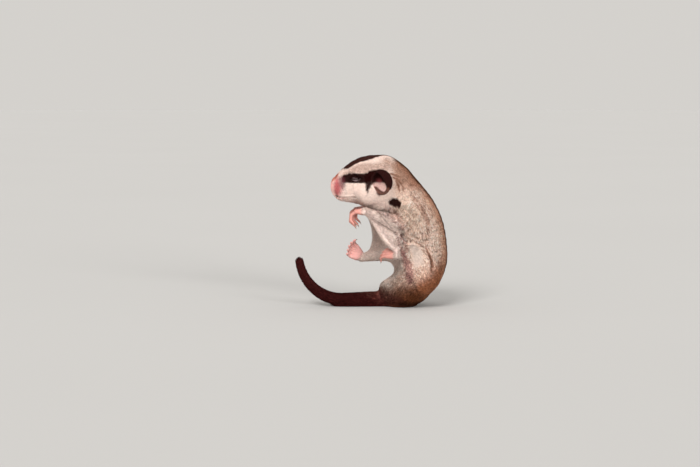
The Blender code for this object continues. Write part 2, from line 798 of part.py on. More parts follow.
def part_trunk(body, parts, cutters):
    """Parts the head, neck, torso and the lengths of the tail with thin flat cuts."""
    for number, (centre, normal, half_size) in enumerate(TRUNK_CUTS):
        cutter = slab(f"trunk_cut_{number}", centre, normal, half_size, cutters)
        boolean(body, cutter, "DIFFERENCE")
        remove(cutter)
    for name, home in HOMES.items():
        piece = link(bpy.data.objects.new(name, body.data.copy()), parts)
        keep_piece_at(piece, home)
        finish(piece, name.split("_")[0])
    remove(body)


def keep_piece_at(mesh_object, home):
    """Keeps the one loose piece whose points have their middle nearest to a place."""
    bm = bmesh.new()
    bm.from_mesh(mesh_object.data)
    home = Vector(home) * MM
    big = [island for island in islands(bm) if len(island) > SCRAP_POINTS]
    kept = min(big, key=lambda island: (sum((v.co for v in island), Vector()) / len(island) - home).length)
    bmesh.ops.delete(bm, geom=[v for v in bm.verts if v not in kept], context="VERTS")
    bm.to_mesh(mesh_object.data)
    bm.free()


def ear_region(side):
    """The space of one ear, which takes in its root."""
    centre = np.array(flipped(EAR_CENTRE, side))
    start, end = (tuple(centre + ear_frame(side)[2] * reach) for reach in EAR_REACH)
    half = max(EAR_HALF_SIZES)
    return [Bone(start, end, half, half, 1.0)]


def build():
    for present in list(bpy.data.objects):
        bpy.data.objects.remove(present)
    parts = bpy.data.collections.new("sugar_glider")
    cutters = bpy.data.collections.new("cutters")
    bpy.context.scene.collection.children.link(parts)
    bpy.context.scene.collection.children.link(cutters)
    cutters.hide_render = True

    body = whole_body(cutters)
    floor_cut(body, cutters)
    for word, side in SIDES.items():
        skin = membrane_triangles(side)
        steps = (
            (f"ear_{word}", ear_region(side), EAR_ROOT_MARGIN, (), "ear"),
            (f"hand_{word}", hand(side), PAW_MARGIN, (), "paw"),
            (f"foot_{word}", foot(side), PAW_MARGIN, (), "paw"),
            (f"forearm_{word}", forearm(side), LIMB_MARGIN, (), "arm"),
            (f"shank_{word}", shank(side), LIMB_MARGIN, (), "leg"),
            (f"membrane_{word}", hem(side), PAW_MARGIN, skin, "membrane"),
            (f"upper_arm_{word}", upper_arm(side), LIMB_MARGIN, (), "arm"),
            (f"thigh_{word}", thigh(side), THIGH_MARGIN, (), "leg"),
        )
        for name, bones, margin, sheet, kind in steps:
            finish(take(body, name, bones, margin, parts, cutters, sheet), kind)
    part_trunk(body, parts, cutters)
    set_eyes(bpy.data.objects["head"], parts, cutters)


build()
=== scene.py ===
"""Looks of the sugar glider joey: one skin without a seam, a coat of short tufts, lids, claws and whiskers.

Sizes and places are in millimetres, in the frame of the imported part, and MM turns them into metres.
The animal faces -X, its left side is -Y, and it sits on the plane Z = 0.
"""

import itertools
import math
from collections import namedtuple

import bmesh
import bpy
import numpy as np
from mathutils import Matrix, Vector
from mathutils.bvhtree import BVHTree


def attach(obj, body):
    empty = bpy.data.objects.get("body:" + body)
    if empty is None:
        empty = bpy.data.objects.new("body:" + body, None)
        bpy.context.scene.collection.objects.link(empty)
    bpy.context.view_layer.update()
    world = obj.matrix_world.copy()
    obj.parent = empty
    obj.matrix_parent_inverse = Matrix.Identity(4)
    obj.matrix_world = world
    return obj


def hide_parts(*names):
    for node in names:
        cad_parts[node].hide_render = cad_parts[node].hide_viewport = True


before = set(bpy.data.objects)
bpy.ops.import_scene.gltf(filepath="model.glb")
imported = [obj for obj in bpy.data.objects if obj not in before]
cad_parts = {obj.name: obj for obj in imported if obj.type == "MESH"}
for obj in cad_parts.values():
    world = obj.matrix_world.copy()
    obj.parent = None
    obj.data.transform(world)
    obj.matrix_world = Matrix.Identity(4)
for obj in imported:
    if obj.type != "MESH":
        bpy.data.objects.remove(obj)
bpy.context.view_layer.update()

MM = 0.001
NEAR = -1
FAR = 1
SIDES = {"left": NEAR, "right": FAR}
FAR_OFF = 5.0

Bone = namedtuple("Bone", "start end start_radius end_radius width")

# The trunk from the nape to the rump: x, y, z, radius, then how much wider than deep it is.
SPINE = (
    (-3.4, 0, 45.6, 7.9, 1.05),
    (1.6, 0, 39.3, 8.25, 1.15),
    (3.7, 0, 34.6, 9.2, 1.16),
    (5.2, 0, 29.0, 10.0, 1.14),
    (5.4, 0, 22.0, 10.9, 1.10),
    (5.0, 0, 16.5, 10.9, 1.12),
    (0.9, 0, 10.3, 10.6, 1.20),
)
GROIN = ((-2.5, 0, 5.0, 5.4, 1.4), (-0.5, 0, 13.0, 6.6, 1.3))
THROAT = ((-2.5, 0, 38.4, 7.4, 1.1), (-9.0, 0, 39.9, 4.8, 1.2), (-14.2, 0, 40.9, 3.2, 1.3))

# The hollow that the curled belly leaves between the arms and the legs: a round bar taken out sideways.
BELLY_HOLLOW = ((-9.4, -16, 16.8), (-9.4, 16, 16.8))
HOLLOW_RADIUS = 6.9
HOLLOW_ROUNDING = 3.0

# The skull from the back of the crown to the muzzle, and the lower jaw.
SKULL = (
    (-8.9, 0, 48.2, 9.6, 1.00),
    (-14.2, 0, 48.2, 9.1, 0.93),
    (-19.4, 0, 46.9, 7.2, 0.85),
    (-23.2, 0, 45.7, 5.1, 0.76),
    (-24.4, 0, 45.0, 3.3, 0.86),
)
JAW = ((-11.5, 0, 45.0, 6.4, 1.15), (-18.5, 0, 43.3, 4.0, 1.05), (-23.8, 0, 42.3, 2.3, 0.95))
CHEEK = (-13.8, 5.0, 43.6, 4.6)
WHISKER_PAD = (-23.4, 2.0, 44.3, 2.6)
BROW = (-16.4, 4.1, 50.6, 3.75)

NOSE_TOP = (-25.8, 0, 47.2, 1.65, 1.35)
NOSE_LOBE = (-26.5, 0.95, 45.2, 1.3)
NOSTRIL = ((-27.7, 1.05, 46.7), (-26.8, 2.0, 46.1))
NOSTRIL_RADIUS = 0.36
PHILTRUM = ((-28.2, 0, 46.3), (-27.8, 0, 44.6), (-27.1, 0, 43.2), (-26.7, 0, 42.4))
PHILTRUM_RADIUS = 0.3

EYE_CENTRE = (-18.1, 4.5, 48.5)
EYE_RADIUS = 3.15
EYE_OUTWARD = (-0.30, 0.95, 0.05)
SLIT_HALF_LENGTH = 1.9
SLIT_HALF_HEIGHT = 0.42
LID_EDGE_RADIUS = 0.34
LID_EDGE_RISE = 0.62
LID_EDGE_SUNK = 0.12
LID_FOLD_RISE = 1.35
LID_FOLD_STRETCH = 1.35
LID_FOLD_RADIUS = 0.17
EYE_HALF_SIZES = (1.7, 0.31, 0.45)
EYE_SUNK = 0.45

MOUTH = ((-26.6, 0.0, 42.3), (-25.2, 2.2, 41.8), (-22.4, 3.9, 41.3), (-19.2, 5.0, 41.7))
MOUTH_RADIUS = 0.26
LIP_RADIUS = 0.5
LIP_RISE = 0.68

# The ear is part of a thin ellipsoid shell. Its opening is cut lowest in front and at its foot, so that
# the back and the top fold over it like a hood. Its lip runs along the foot, in the ear's own directions.
EAR_CENTRE = (-9.0, 10.0, 47.8)
EAR_HALF_SIZES = (4.2, 4.5, 2.5)
EAR_OPENING = 0.7
EAR_TILT = (0.50, 0.30)
EAR_WALL = 0.75
EAR_TURN = math.radians(32)
EAR_LIP = ((-3.0, -2.9, -0.2), (-1.2, -4.1, 0.0), (1.1, -4.2, 0.5), (3.1, -2.9, 1.2))
EAR_LIP_RADIUS = 0.55

SHOULDER = (1.5, 7.2, 36.0, 4.7)
ELBOW = (-2.4, 9.4, 31.6, 3.5)
FOREARM_MIDDLE = (-8.6, 8.8, 34.0, 2.9)
WRIST = (-14.8, 6.3, 36.4, 1.75)
KNUCKLES = (-18.6, 5.0, 36.5, 1.35)
PALM_SIDE = (0.05, 0, -1)
HAND_SPREAD = 4.7
FINGER_LENGTH = 7.1
FINGER_CURL = (38, 48, 52)
FINGER_LENGTHS = (0.80, 0.97, 1.05, 1.0, 0.84)
FINGER_RADIUS = 0.62

HIP = (6.3, 6.2, 12.5, 7.0)
KNEE = {NEAR: (5.0, 10.6, 19.2, 4.9), FAR: (-3.6, 10.2, 19.6, 4.1)}
SHANK = {NEAR: (1.2, 10.9, 20.9, 3.5), FAR: (-9.8, 10.0, 18.6, 2.8)}
ANKLE = {NEAR: (-2.4, 10.0, 20.6, 2.2), FAR: (-16.2, 8.9, 17.5, 1.9)}
BALL = {NEAR: (-6.6, 7.6, 21.5, 1.35), FAR: (-20.0, 7.6, 20.6, 1.35)}
FOOT_SOLE = {NEAR: (-0.25, -0.80, -0.55), FAR: (0.45, -0.80, 0.10)}
FOOT_SPREAD = 4.9
TOE_LENGTH = 4.6
TOE_CURL = (14, 30, 42)
TOE_LENGTHS = (0.72, 0.86, 0.92, 1.05, 0.95)
TOE_RADIUS = 0.58

# How the palm's rays run, and how a digit thins from knuckle to tip.
PALM_START = 0.25
PALM_THICKNESS = 0.75
KNUCKLE_SWELL = 1.25
KNUCKLE_ARC = 1.2
DIGIT_FAN = 0.35
DIGIT_TAPER = (1.0, 0.92, 0.86, 0.5)

# The gliding membrane from wrist to ankle: its free edge, and the line where it leaves the body.
MEMBRANE_EDGE = {
    NEAR: ((-14, 6.9, 35.0), (-11.5, 8.6, 31.4), (-8.3, 10.0, 26.4), (-4.9, 10.6, 22.8), (-2.4, 10.6, 20.9)),
    FAR: ((-14, 6.9, 35.0), (-12.2, 9.0, 30.2), (-11.4, 10.4, 25.2), (-12.6, 10.4, 20.6), (-15.8, 9.2, 18.0)),
}
MEMBRANE_ROOT = {
    NEAR: ((-8.8, 8.6, 34.0), (-4.6, 9.8, 30.6), (-1.6, 10.4, 27.0), (0.6, 10.8, 24.0), (1.6, 11.0, 21.8)),
    FAR: ((-8.8, 8.6, 34.0), (-4.4, 9.8, 30.6), (-2.6, 10.0, 25.6), (-5.0, 10.2, 21.0), (-9.4, 10.2, 19.0)),
}
MEMBRANE_HALF_THICKNESS = 0.45
MEMBRANE_HEM = 0.75

# The tail lies straight along the floor and then bends up along an arc.
TAIL_ROOT = (-3.6, 0, 4.6, 4.9)
TAIL_START_X = -9.0
TAIL_BEND_X = -23.3
TAIL_BEND_RADIUS = 17.0
TAIL_SWEEP = math.radians(80)
TAIL_RADII = (3.5, 2.7, 1.95)
TAIL_SIDE_SWAY = 1.6
TAIL_STEPS = 22

# Creases in the coat: places on the far side, the radius of the groove, and how softly its edge rounds.
ARM_CREASE = ((-11.4, 9.9, 36.4), (-8.6, 11.8, 34.1), (-6.0, 12.3, 31.5), (-3.8, 12.2, 29.7))
PALM_CREASE = ((-10.4, 10.8, 33.4), (-9.0, 11.2, 32.0), (-7.6, 11.3, 30.9))
LEG_CREASE = (
    (-3.2, 12.2, 29.0), (-1.1, 11.6, 28.6), (3.4, 11.2, 26.5),
    (8.2, 12.4, 23.6), (10.1, 12.7, 20.4), (9.7, 13.5, 17.6),
)
CREASE_RADIUS = 0.5
CREASE_ROUNDING = 0.8

# The skin's first mesh, the threads that are too thin for it, its height over the floor, how its points
# are moved onto the body's surface, and the boxes where its faces are split.
SKIN_VOXEL = 0.36
THIN_THREAD = 0.52
DETAIL_MARGIN = 0.9
FLOOR_GAP = 0.02
SLOPE_STEP = 0.02
LONGEST_MOVE = 0.8
FACE_BOX = ((-29, -9.5, 39), (-15.4, 9.5, 52))
MUZZLE_BOX = ((-28.6, -6, 42.6), (-22.6, 6, 48.0))

# The coat: how far its tips stand over the skin, and the tufts' sizes, lie, and shades from root to tip.
COAT_DEPTH = {"body": 0.42, "head": 0.30, "tail": 0.5}
COAT_SEED = 11
TUFTS = 340000
TUFTS_IN_A_PIECE = 48000
TUFT_LENGTH = {"body": 0.9, "face": 0.6, "tail": 1.3}
TUFT_WIDTH = 0.12
TUFT_THICKNESS = 0.05
TUFT_RISE = math.radians(11)
RISE_SPREAD = (0.5, 1.6)
LENGTH_SPREAD = (0.75, 1.25)
LIE_SPREAD = 0.10
TUFT_SUNK = 0.06
TUFT_SHADES = (0.84, 0.84, 0.92, 1.12)
LOWEST_TUFT = 0.03
UV_PATCH = 0.003

# Linear colours.
BACK = (0.80, 0.56, 0.46)
BACK_EDGE = (0.42, 0.180, 0.095)
# Brown of streaks in the coat, also used for painted shade along folds.
BROWN_AND_FOLD_SHADE = (0.22, 0.095, 0.058)
BACK_DARK = (0.050, 0.016, 0.008)
SHOULDER_TAN = (0.80, 0.55, 0.43)
RUMP = (0.19, 0.063, 0.026)
TAIL_BROWN = (0.125, 0.036, 0.028)
CREAM = (0.84, 0.67, 0.60)
FOREHEAD = (0.56, 0.40, 0.34)
CROWN_TAN = (0.40, 0.235, 0.17)
GREY = (0.33, 0.155, 0.140)
BLACK = (0.016, 0.0010, 0.0006)
CROWN_BLACK = (0.036, 0.0060, 0.0035)
EAR_LIP_BROWN = (0.085, 0.030, 0.020)
EAR_RED = (0.20, 0.035, 0.04)
EAR_PINK = (0.72, 0.47, 0.43)
PALE_LEG_AND_SHEEN = (0.70, 0.575, 0.51)
PALE_EDGE = (0.75, 0.59, 0.54)
TAIL_BLACK = (0.040, 0.0062, 0.0062)
MUZZLE_PINK = (0.52, 0.130, 0.132)
MUZZLE_DARK = (0.13, 0.030, 0.040)
NOSE_PINK = (0.80, 0.40, 0.36)
NOSE_ORANGE = (0.42, 0.100, 0.058)
LIP_PINK = (0.97, 0.58, 0.52)
PAW_PINK = (0.56, 0.26, 0.22)
PAW_PALE = (0.80, 0.58, 0.53)
# Partly the sole's paler skin, partly painted light on the far foot.
LIT_SOLE_PINK = (0.82, 0.44, 0.41)
# Painted highlight on the moist edges of the lids.
LID_HIGHLIGHT = (0.24, 0.17, 0.175)


def flipped(point, side):
    """A place given for the far side, moved to the side asked for."""
    return (point[0], side * point[1], *point[2:])


def on_side(route, side):
    """A route given for the far side, moved to the side asked for."""
    return [flipped(point, side) for point in route]


def smooth_rows(rows, steps):
    """More rows along the same route, on a Catmull-Rom curve through the given ones."""
    rows = np.array(rows, float)
    ends = np.vstack([2 * rows[0] - rows[1], rows, 2 * rows[-1] - rows[-2]])
    found = []
    for before, start, end, after in zip(ends, ends[1:], ends[2:], ends[3:]):
        for t in np.arange(steps) / steps:
            square = 2 * before - 5 * start + 4 * end - after
            cube = 3 * start - before - 3 * end + after
            found.append(0.5 * (2 * start + (end - before) * t + square * t**2 + cube * t**3))
    return np.array([*found, rows[-1]])


def chain(rows, steps=3):
    """Bones along rows of x, y, z and radius, and of width where a fifth value gives it."""
    full = [tuple(row) if len(row) == 5 else (*row, 1.0) for row in rows]
    smooth = smooth_rows(full, steps)
    pairs = zip(smooth, smooth[1:])
    return [Bone(tuple(a[:3]), tuple(b[:3]), a[3], b[3], (a[4] + b[4]) / 2) for a, b in pairs]


def ball(row):
    """One round mass: a bone of no length to speak of."""
    x, y, z, radius = row[:4]
    width = row[4] if len(row) == 5 else 1.0
    return [Bone((x, y, z), (x + 0.01, y, z), radius, radius, width)]


def thread(points, radius, steps=3):
    """A thin bone of one radius along a curve through points."""
    return chain([(*point, radius) for point in points], steps)


def tail_rows():
    """Rows along the tail: straight on the floor, then along the arc."""
    straight = TAIL_START_X - TAIL_BEND_X
    length = straight + TAIL_BEND_RADIUS * TAIL_SWEEP
    rows = [TAIL_ROOT]
    for along in np.linspace(0, length, TAIL_STEPS):
        share = along / length
        radius = np.interp(share, (0, 0.5, 1), TAIL_RADII)
        angle = max(0, along - straight) / TAIL_BEND_RADIUS
        x = TAIL_START_X - min(along, straight) - TAIL_BEND_RADIUS * math.sin(angle)
        z = TAIL_RADII[1] * 0.96 + TAIL_BEND_RADIUS * (1 - math.cos(angle))
        rows.append((x, -TAIL_SIDE_SWAY * math.sin(math.pi * share), z, radius))
    return rows


def digits(root, knuckle, palm_side, spread, lengths, curl, radius):
    """The bones of one paw: a palm from root to knuckle, and digits that curl towards palm_side."""
    root_at, knuckle_at = Vector(root[:3]), Vector(knuckle[:3])
    forward = (knuckle_at - root_at).normalized()
    palm_side = Vector(palm_side)
    palm_side = (palm_side - palm_side.dot(forward) * forward).normalized()
    across = forward.cross(palm_side)
    bones = []
    for i, length in enumerate(lengths):
        offset = i / (len(lengths) - 1) - 0.5
        joint = knuckle_at + across * spread * offset - forward * abs(offset) * KNUCKLE_ARC
        start = root_at.lerp(knuckle_at, PALM_START) + across * spread * offset * DIGIT_FAN
        palm = root[3] * PALM_THICKNESS
        bones.append(Bone(tuple(start), tuple(joint), palm, radius * KNUCKLE_SWELL, 1.0))
        angle = 0
        for bend, thick, thin in zip(curl, DIGIT_TAPER, DIGIT_TAPER[1:]):
            angle += math.radians(bend)
            way = forward * math.cos(angle) + palm_side * math.sin(angle) + across * offset * DIGIT_FAN
            end = joint + way * length / len(curl)
            bones.append(Bone(tuple(joint), tuple(end), radius * thick, radius * thin, 1.0))
            joint = end
    return bones


def upper_arm(side):
    return chain(on_side((SHOULDER, ELBOW), side), 4)


def forearm(side):
    return chain(on_side((ELBOW, FOREARM_MIDDLE, WRIST), side))


def hand(side):
    lengths = [FINGER_LENGTH * share for share in FINGER_LENGTHS]
    wrist, knuckles = on_side((WRIST, KNUCKLES), side)
    return digits(wrist, knuckles, PALM_SIDE, HAND_SPREAD, lengths, FINGER_CURL, FINGER_RADIUS)


def thigh(side):
    return chain(on_side((HIP, KNEE[side]), side), 4)


def shank(side):
    return chain(on_side((KNEE[side], SHANK[side], ANKLE[side]), side))


def foot(side):
    ankle, knuckles, sole = on_side((ANKLE[side], BALL[side], FOOT_SOLE[side]), side)
    lengths = [TOE_LENGTH * share for share in TOE_LENGTHS]
    return digits(ankle, knuckles, sole, FOOT_SPREAD, lengths, TOE_CURL, TOE_RADIUS)


def membrane_triangles(side):
    """The membrane's middle surface, two triangles between each pair of its ribs."""
    edge = smooth_rows(on_side(MEMBRANE_EDGE[side], side), 2)
    root = smooth_rows(on_side(MEMBRANE_ROOT[side], side), 2)
    found = []
    for a, b, c, d in zip(edge, edge[1:], root, root[1:]):
        found += [(a, b, c), (b, d, c)]
    return found


def hem(side):
    return thread(on_side(MEMBRANE_EDGE[side], side), MEMBRANE_HEM)


def eye_axes(side):
    """The slit's centre on the lids, its outward direction and its two directions across."""
    centre = Vector(flipped(EYE_CENTRE, side))
    outward = Vector(flipped(EYE_OUTWARD, side)).normalized()
    up = Vector((0, 0, 1))
    along = up.cross(outward).normalized()
    return centre + outward * EYE_RADIUS, outward, along, outward.cross(along)


def slit_route(side, rise, stretch=1.0):
    """Points along the slit between the lids, or along a lid's edge or fold that far above or below it."""
    centre, outward, along, up = eye_axes(side)
    route = []
    for share in (-1, -0.5, 0, 0.5, 1):
        reach = share * SLIT_HALF_LENGTH * stretch
        back = (1 - math.cos(reach / EYE_RADIUS)) * EYE_RADIUS
        back += abs(rise) * LID_EDGE_SUNK if stretch == 1 else (1 - math.cos(rise / EYE_RADIUS)) * EYE_RADIUS
        across = along * reach - outward * back
        route.append(tuple(centre + across + up * rise * (1 - share**2)))
    return route


def raised(points, rise):
    return [(x, y, z + rise) for x, y, z in points]


def trunk_masses():
    """The masses beside the spine that the belly's hollow is cut out of."""
    return [(chain(GROIN), 4.0), (chain(THROAT), 3.0)]


def masses():
    """Each mass of flesh on the trunk, with how far it blends into what it meets."""
    found = [
        (chain(SKULL), 3.0),
        (chain(JAW), 2.0),
        (ball(NOSE_TOP), 0.9),
        (chain(tail_rows(), 1), 3.0),
    ]
    for side in (NEAR, FAR):
        found += [
            (ball(flipped(CHEEK, side)), 3.0),
            (ball(flipped(BROW, side)), 3.0),
            (ball(flipped(WHISKER_PAD, side)), 1.2),
            (ball(flipped(NOSE_LOBE, side)), 0.5),
            (ball((*flipped(EYE_CENTRE, side), EYE_RADIUS)), 1.2),
            (thread(slit_route(side, LID_EDGE_RISE), LID_EDGE_RADIUS), 0.4),
            (thread(slit_route(side, -LID_EDGE_RISE), LID_EDGE_RADIUS), 0.4),
            (thread(raised(on_side(MOUTH, side), LIP_RISE), LIP_RADIUS), 0.8),
            (thread(raised(on_side(MOUTH, side), -LIP_RISE), LIP_RADIUS), 0.8),
            (upper_arm(side) + forearm(side), 2.4),
            (hand(side), 0.7),
            (thigh(side), 3.0),
            (shank(side), 1.6),
            (foot(side), 0.7),
            (hem(side), 0.8),
        ]
    return found


def grooves():
    """Each line or pit in the surface, with how softly its edge rounds over."""
    found = [(thread(PHILTRUM, PHILTRUM_RADIUS), 0.3)]
    for side in (NEAR, FAR):
        found += [
            (thread(on_side(MOUTH, side), MOUTH_RADIUS), 0.35),
            (thread(on_side(NOSTRIL, side), NOSTRIL_RADIUS), 0.25),
            (thread(slit_route(side, 0), SLIT_HALF_HEIGHT), 0.25),
            (thread(slit_route(side, LID_FOLD_RISE, LID_FOLD_STRETCH), LID_FOLD_RADIUS), 0.3),
            (thread(slit_route(side, -LID_FOLD_RISE, LID_FOLD_STRETCH), LID_FOLD_RADIUS), 0.3),
        ]
        for crease in (ARM_CREASE, PALM_CREASE, LEG_CREASE):
            found.append((thread(on_side(crease, side), CREASE_RADIUS), CREASE_ROUNDING))
    return found


def bone_distance(points, bone):
    """How far points lie outside a tapered bone, measured with its width taken out."""
    squeeze = np.array((1, 1 / bone.width, 1))
    start, end = np.array(bone.start) * squeeze, np.array(bone.end) * squeeze
    axis = end - start
    from_start = points * squeeze - start
    along = np.clip(from_start @ axis / (axis @ axis), 0, 1)
    radius = bone.start_radius + (bone.end_radius - bone.start_radius) * along
    return np.linalg.norm(from_start - along[:, None] * axis, axis=1) - radius


def nearby(points, ends, margin):
    """Which points lie in the box round the given ends, grown by a margin."""
    ends = np.array(ends)
    return np.all((points > ends.min(axis=0) - margin) & (points < ends.max(axis=0) + margin), axis=1)


def bones_distance(points, bones):
    """How far points lie outside the nearest bone, or no limit for those well away from all of them."""
    widest = max(max(bone.start_radius, bone.end_radius) * max(bone.width, 1) for bone in bones)
    near = nearby(points, [end for bone in bones for end in (bone.start, bone.end)], widest + FAR_OFF)
    found = np.full(len(points), np.inf)
    if near.any():
        found[near] = np.min([bone_distance(points[near], bone) for bone in bones], axis=0)
    return found


def blended(first, second, reach):
    """The nearer of two distances, with the crease between them filled."""
    closeness = np.clip(reach - np.abs(first - second), 0, None) / reach
    return np.minimum(first, second) - closeness**2 * reach / 4


def triangle_distance(points, corners):
    """How far points lie from a flat triangle."""
    corners = [np.array(corner, float) for corner in corners]
    normal = np.cross(corners[1] - corners[0], corners[2] - corners[0])
    inside = np.ones(len(points), bool)
    nearest = np.full(len(points), np.inf)
    for start, end in zip(corners, corners[1:] + corners[:1]):
        edge = end - start
        offset = points - start
        inside &= offset @ np.cross(normal, edge) >= 0
        along = np.clip(offset @ edge / (edge @ edge), 0, 1)
        nearest = np.minimum(nearest, np.linalg.norm(offset - along[:, None] * edge, axis=1))
    flat = np.abs((points - corners[0]) @ normal) / np.linalg.norm(normal)
    return np.where(inside, flat, nearest)


def sheet_distance(points, triangles, half_thickness):
    near = nearby(points, [corner for triangle in triangles for corner in triangle], FAR_OFF)
    found = np.full(len(points), np.inf)
    if near.any():
        found[near] = np.min([triangle_distance(points[near], t) for t in triangles], axis=0) - half_thickness
    return found


def ear_frame(side):
    """A matrix whose rows are the ear's backward, upward and outward directions."""
    outward = Vector((-math.sin(EAR_TURN), side * math.cos(EAR_TURN), -0.06)).normalized()
    backward = Vector((math.cos(EAR_TURN), side * math.sin(EAR_TURN), 0))
    upward = backward.cross(outward) * side
    return np.array((backward, upward, outward))


def ellipsoid_distance(local, half_sizes):
    half_sizes = np.array(half_sizes)
    near = np.linalg.norm(local / half_sizes, axis=1)
    slope = np.linalg.norm(local / half_sizes**2, axis=1)
    return near * (near - 1) / np.maximum(slope, 1e-9)


def ear_lip(side):
    """The bones of the rolled lip along the ear's foot."""
    centre = np.array(flipped(EAR_CENTRE, side))
    return thread([tuple(centre + np.array(place) @ ear_frame(side)) for place in EAR_LIP], EAR_LIP_RADIUS)


def ear_places(points, side):
    """Places in the ear's own directions: backward, upward and outward from its centre."""
    return (points - np.array(flipped(EAR_CENTRE, side))) @ ear_frame(side).T


def ear_distance(points, side):
    """How far points lie outside the ear's cup and its lip."""
    local = ear_places(points, side)
    beyond = local @ np.array((-EAR_TILT[0], -EAR_TILT[1], 1)) - EAR_OPENING
    cup = -blended(EAR_WALL / 2 - np.abs(ellipsoid_distance(local, EAR_HALF_SIZES)), -beyond, 0.4)
    return blended(cup, bones_distance(points, ear_lip(side)), 0.5)


def with_ear(found, points, side):
    """The distance found so far, with the ear's bowl taken out and its cup and lip added."""
    near = nearby(points, [flipped(EAR_CENTRE, side)], max(EAR_HALF_SIZES) + FAR_OFF)
    if near.any():
        bowl = ellipsoid_distance(ear_places(points[near], side), EAR_HALF_SIZES) + EAR_WALL / 2
        found[near] = blended(-blended(-found[near], bowl, 0.6), ear_distance(points[near], side), 0.8)
    return found


def body_distance(points):
    """How far points lie outside the whole blended body, out to the tips of its coat."""
    found = np.min([bone_distance(points, bone) for bone in chain(SPINE)], axis=0)
    for bones, reach in trunk_masses():
        found = blended(found, bones_distance(points, bones), reach)
    hollow = bones_distance(points, thread(BELLY_HOLLOW, HOLLOW_RADIUS, 1))
    found = -blended(-found, hollow, HOLLOW_ROUNDING)
    for bones, reach in masses():
        found = blended(found, bones_distance(points, bones), reach)
    for side in (NEAR, FAR):
        membrane = sheet_distance(points, membrane_triangles(side), MEMBRANE_HALF_THICKNESS)
        found = with_ear(blended(found, membrane, 1.0), points, side)
    for bones, rounding in grooves():
        found = -blended(-found, bones_distance(points, bones), rounding)
    return found


def smoothstep(value):
    value = np.clip(value, 0, 1)
    return value * value * (3 - 2 * value)


LATTICE_SEED = 5
LATTICE_SIZE = 32
LATTICE = np.random.default_rng(LATTICE_SEED).random((LATTICE_SIZE,) * 3)


def noise(points, size):
    """Smooth random values from 0 to 1, with lumps about size across."""
    cell = np.floor(points / size).astype(int)
    inside = smoothstep(points / size - cell)
    found = np.zeros(len(points))
    for corner in itertools.product((0, 1), repeat=3):
        weight = np.prod(np.where(corner, inside, 1 - inside), axis=1)
        found += weight * LATTICE[tuple(((cell + corner) % LATTICE_SIZE).T)]
    return found


def folded(points):
    """The same places moved to the far side, since the markings are alike on both."""
    return np.column_stack((points[:, 0], np.abs(points[:, 1]), points[:, 2]))


def near_stroke(points, rows, softness):
    """From 1 inside a stroke of x, y, z and radius rows to 0 outside it, over a soft edge."""
    return smoothstep(0.5 - bones_distance(points, chain(rows, 2)) / softness)


def side_stroke(points, rows, softness):
    """Like near_stroke, for a stroke of x, z and radius rows that is drawn from the side."""
    flat = points * np.array((1, 0, 1))
    return near_stroke(flat, [(x, 0, z, radius) for x, z, radius in rows], softness)


def near_place(points, place, reach):
    """1 at a place, falling to 0 well beyond its reach."""
    return np.exp(-(((points - np.array(place)) / np.array(reach)) ** 2).sum(axis=1))


def fade(value, start, end):
    """From 0 at start to 1 at end."""
    return smoothstep((value - start) / (end - start))


def paw_bareness(points):
    """1 on hands and feet, 0 above the wrist and ankle."""
    found = np.zeros(len(points))
    for side in (NEAR, FAR):
        for bones, joint, tip in (
            (hand(side), WRIST, KNUCKLES),
            (foot(side), ANKLE[side], BALL[side]),
        ):
            start, end = np.array(flipped(joint, side)[:3]), np.array(flipped(tip, side)[:3])
            along = (points - start) @ (end - start) / ((end - start) @ (end - start))
            close = smoothstep(1.2 - bones_distance(points, bones))
            found = np.maximum(found, close * fade(along, 0.05, 0.45))
    return found


def ear_bareness(points):
    """1 in the ear's bowl and on its lip, 0 on the furred back of the cup."""
    found = np.zeros(len(points))
    for side in (NEAR, FAR):
        bowl = ellipsoid_distance(ear_places(points, side), EAR_HALF_SIZES)
        found = np.maximum(found, smoothstep(0.8 - bowl / 0.5))
        found = np.maximum(found, smoothstep(1 - bones_distance(points, ear_lip(side)) / 0.3))
    return found


NOSE_BARE = ((-27.6, 0.0, 46.6, 2.6), (-26.8, 0.0, 44.6, 2.6))
MUZZLE_BARE = ((-26.6, 1.2, 45.8, 2.4), (-24.9, 3.0, 45.6, 2.3), (-24.4, 3.4, 43.8, 2.0))
LIDS_BARE = ((-20.6, 6.6, 48.5, 0.6), (-18.9, 7.8, 48.6, 0.9), (-17.2, 8.4, 48.7, 0.6))


def on_bare_face(points, muzzle, lids):
    """1 on the nose, and the given shares on the muzzle and the lids."""
    mirrored = folded(points)
    face = np.maximum(near_stroke(mirrored, NOSE_BARE, 0.8), muzzle * near_stroke(mirrored, MUZZLE_BARE, 1.2))
    return np.maximum(face, lids * near_stroke(mirrored, LIDS_BARE, 0.8))


def bareness(points):
    """From 0 in full coat to 1 on bare skin."""
    return np.max([on_bare_face(points, 0.85, 0.9), paw_bareness(points), ear_bareness(points)], axis=0)


def wetness(points):
    """How moist the skin looks: most on the nose and muzzle, less on the paws and lids, not in the ears."""
    return np.maximum(on_bare_face(points, 0.8, 0.4), 0.6 * paw_bareness(points))


def face_share(points):
    """1 on the head, falling to 0 behind the neck."""
    x, _, z = points.T
    return fade(x - 0.9 * (z - 42), 6, -8) * fade(z, 37, 41)


def tail_share(points):
    return smoothstep(1.0 - bones_distance(points, chain(tail_rows(), 1)[2:]) / 1.5)


def coat_depth(points):
    """How far the skin lies under the tips of the coat."""
    face, tail = face_share(points), tail_share(points)
    full = COAT_DEPTH["body"] * (1 - face) + COAT_DEPTH["head"] * face
    full = full * (1 - tail) + COAT_DEPTH["tail"] * tail
    return full * (1 - bareness(points)) * fade(points[:, 2], 0.0, 1.2)


Mark = namedtuple("Mark", "rows colour strength softness")
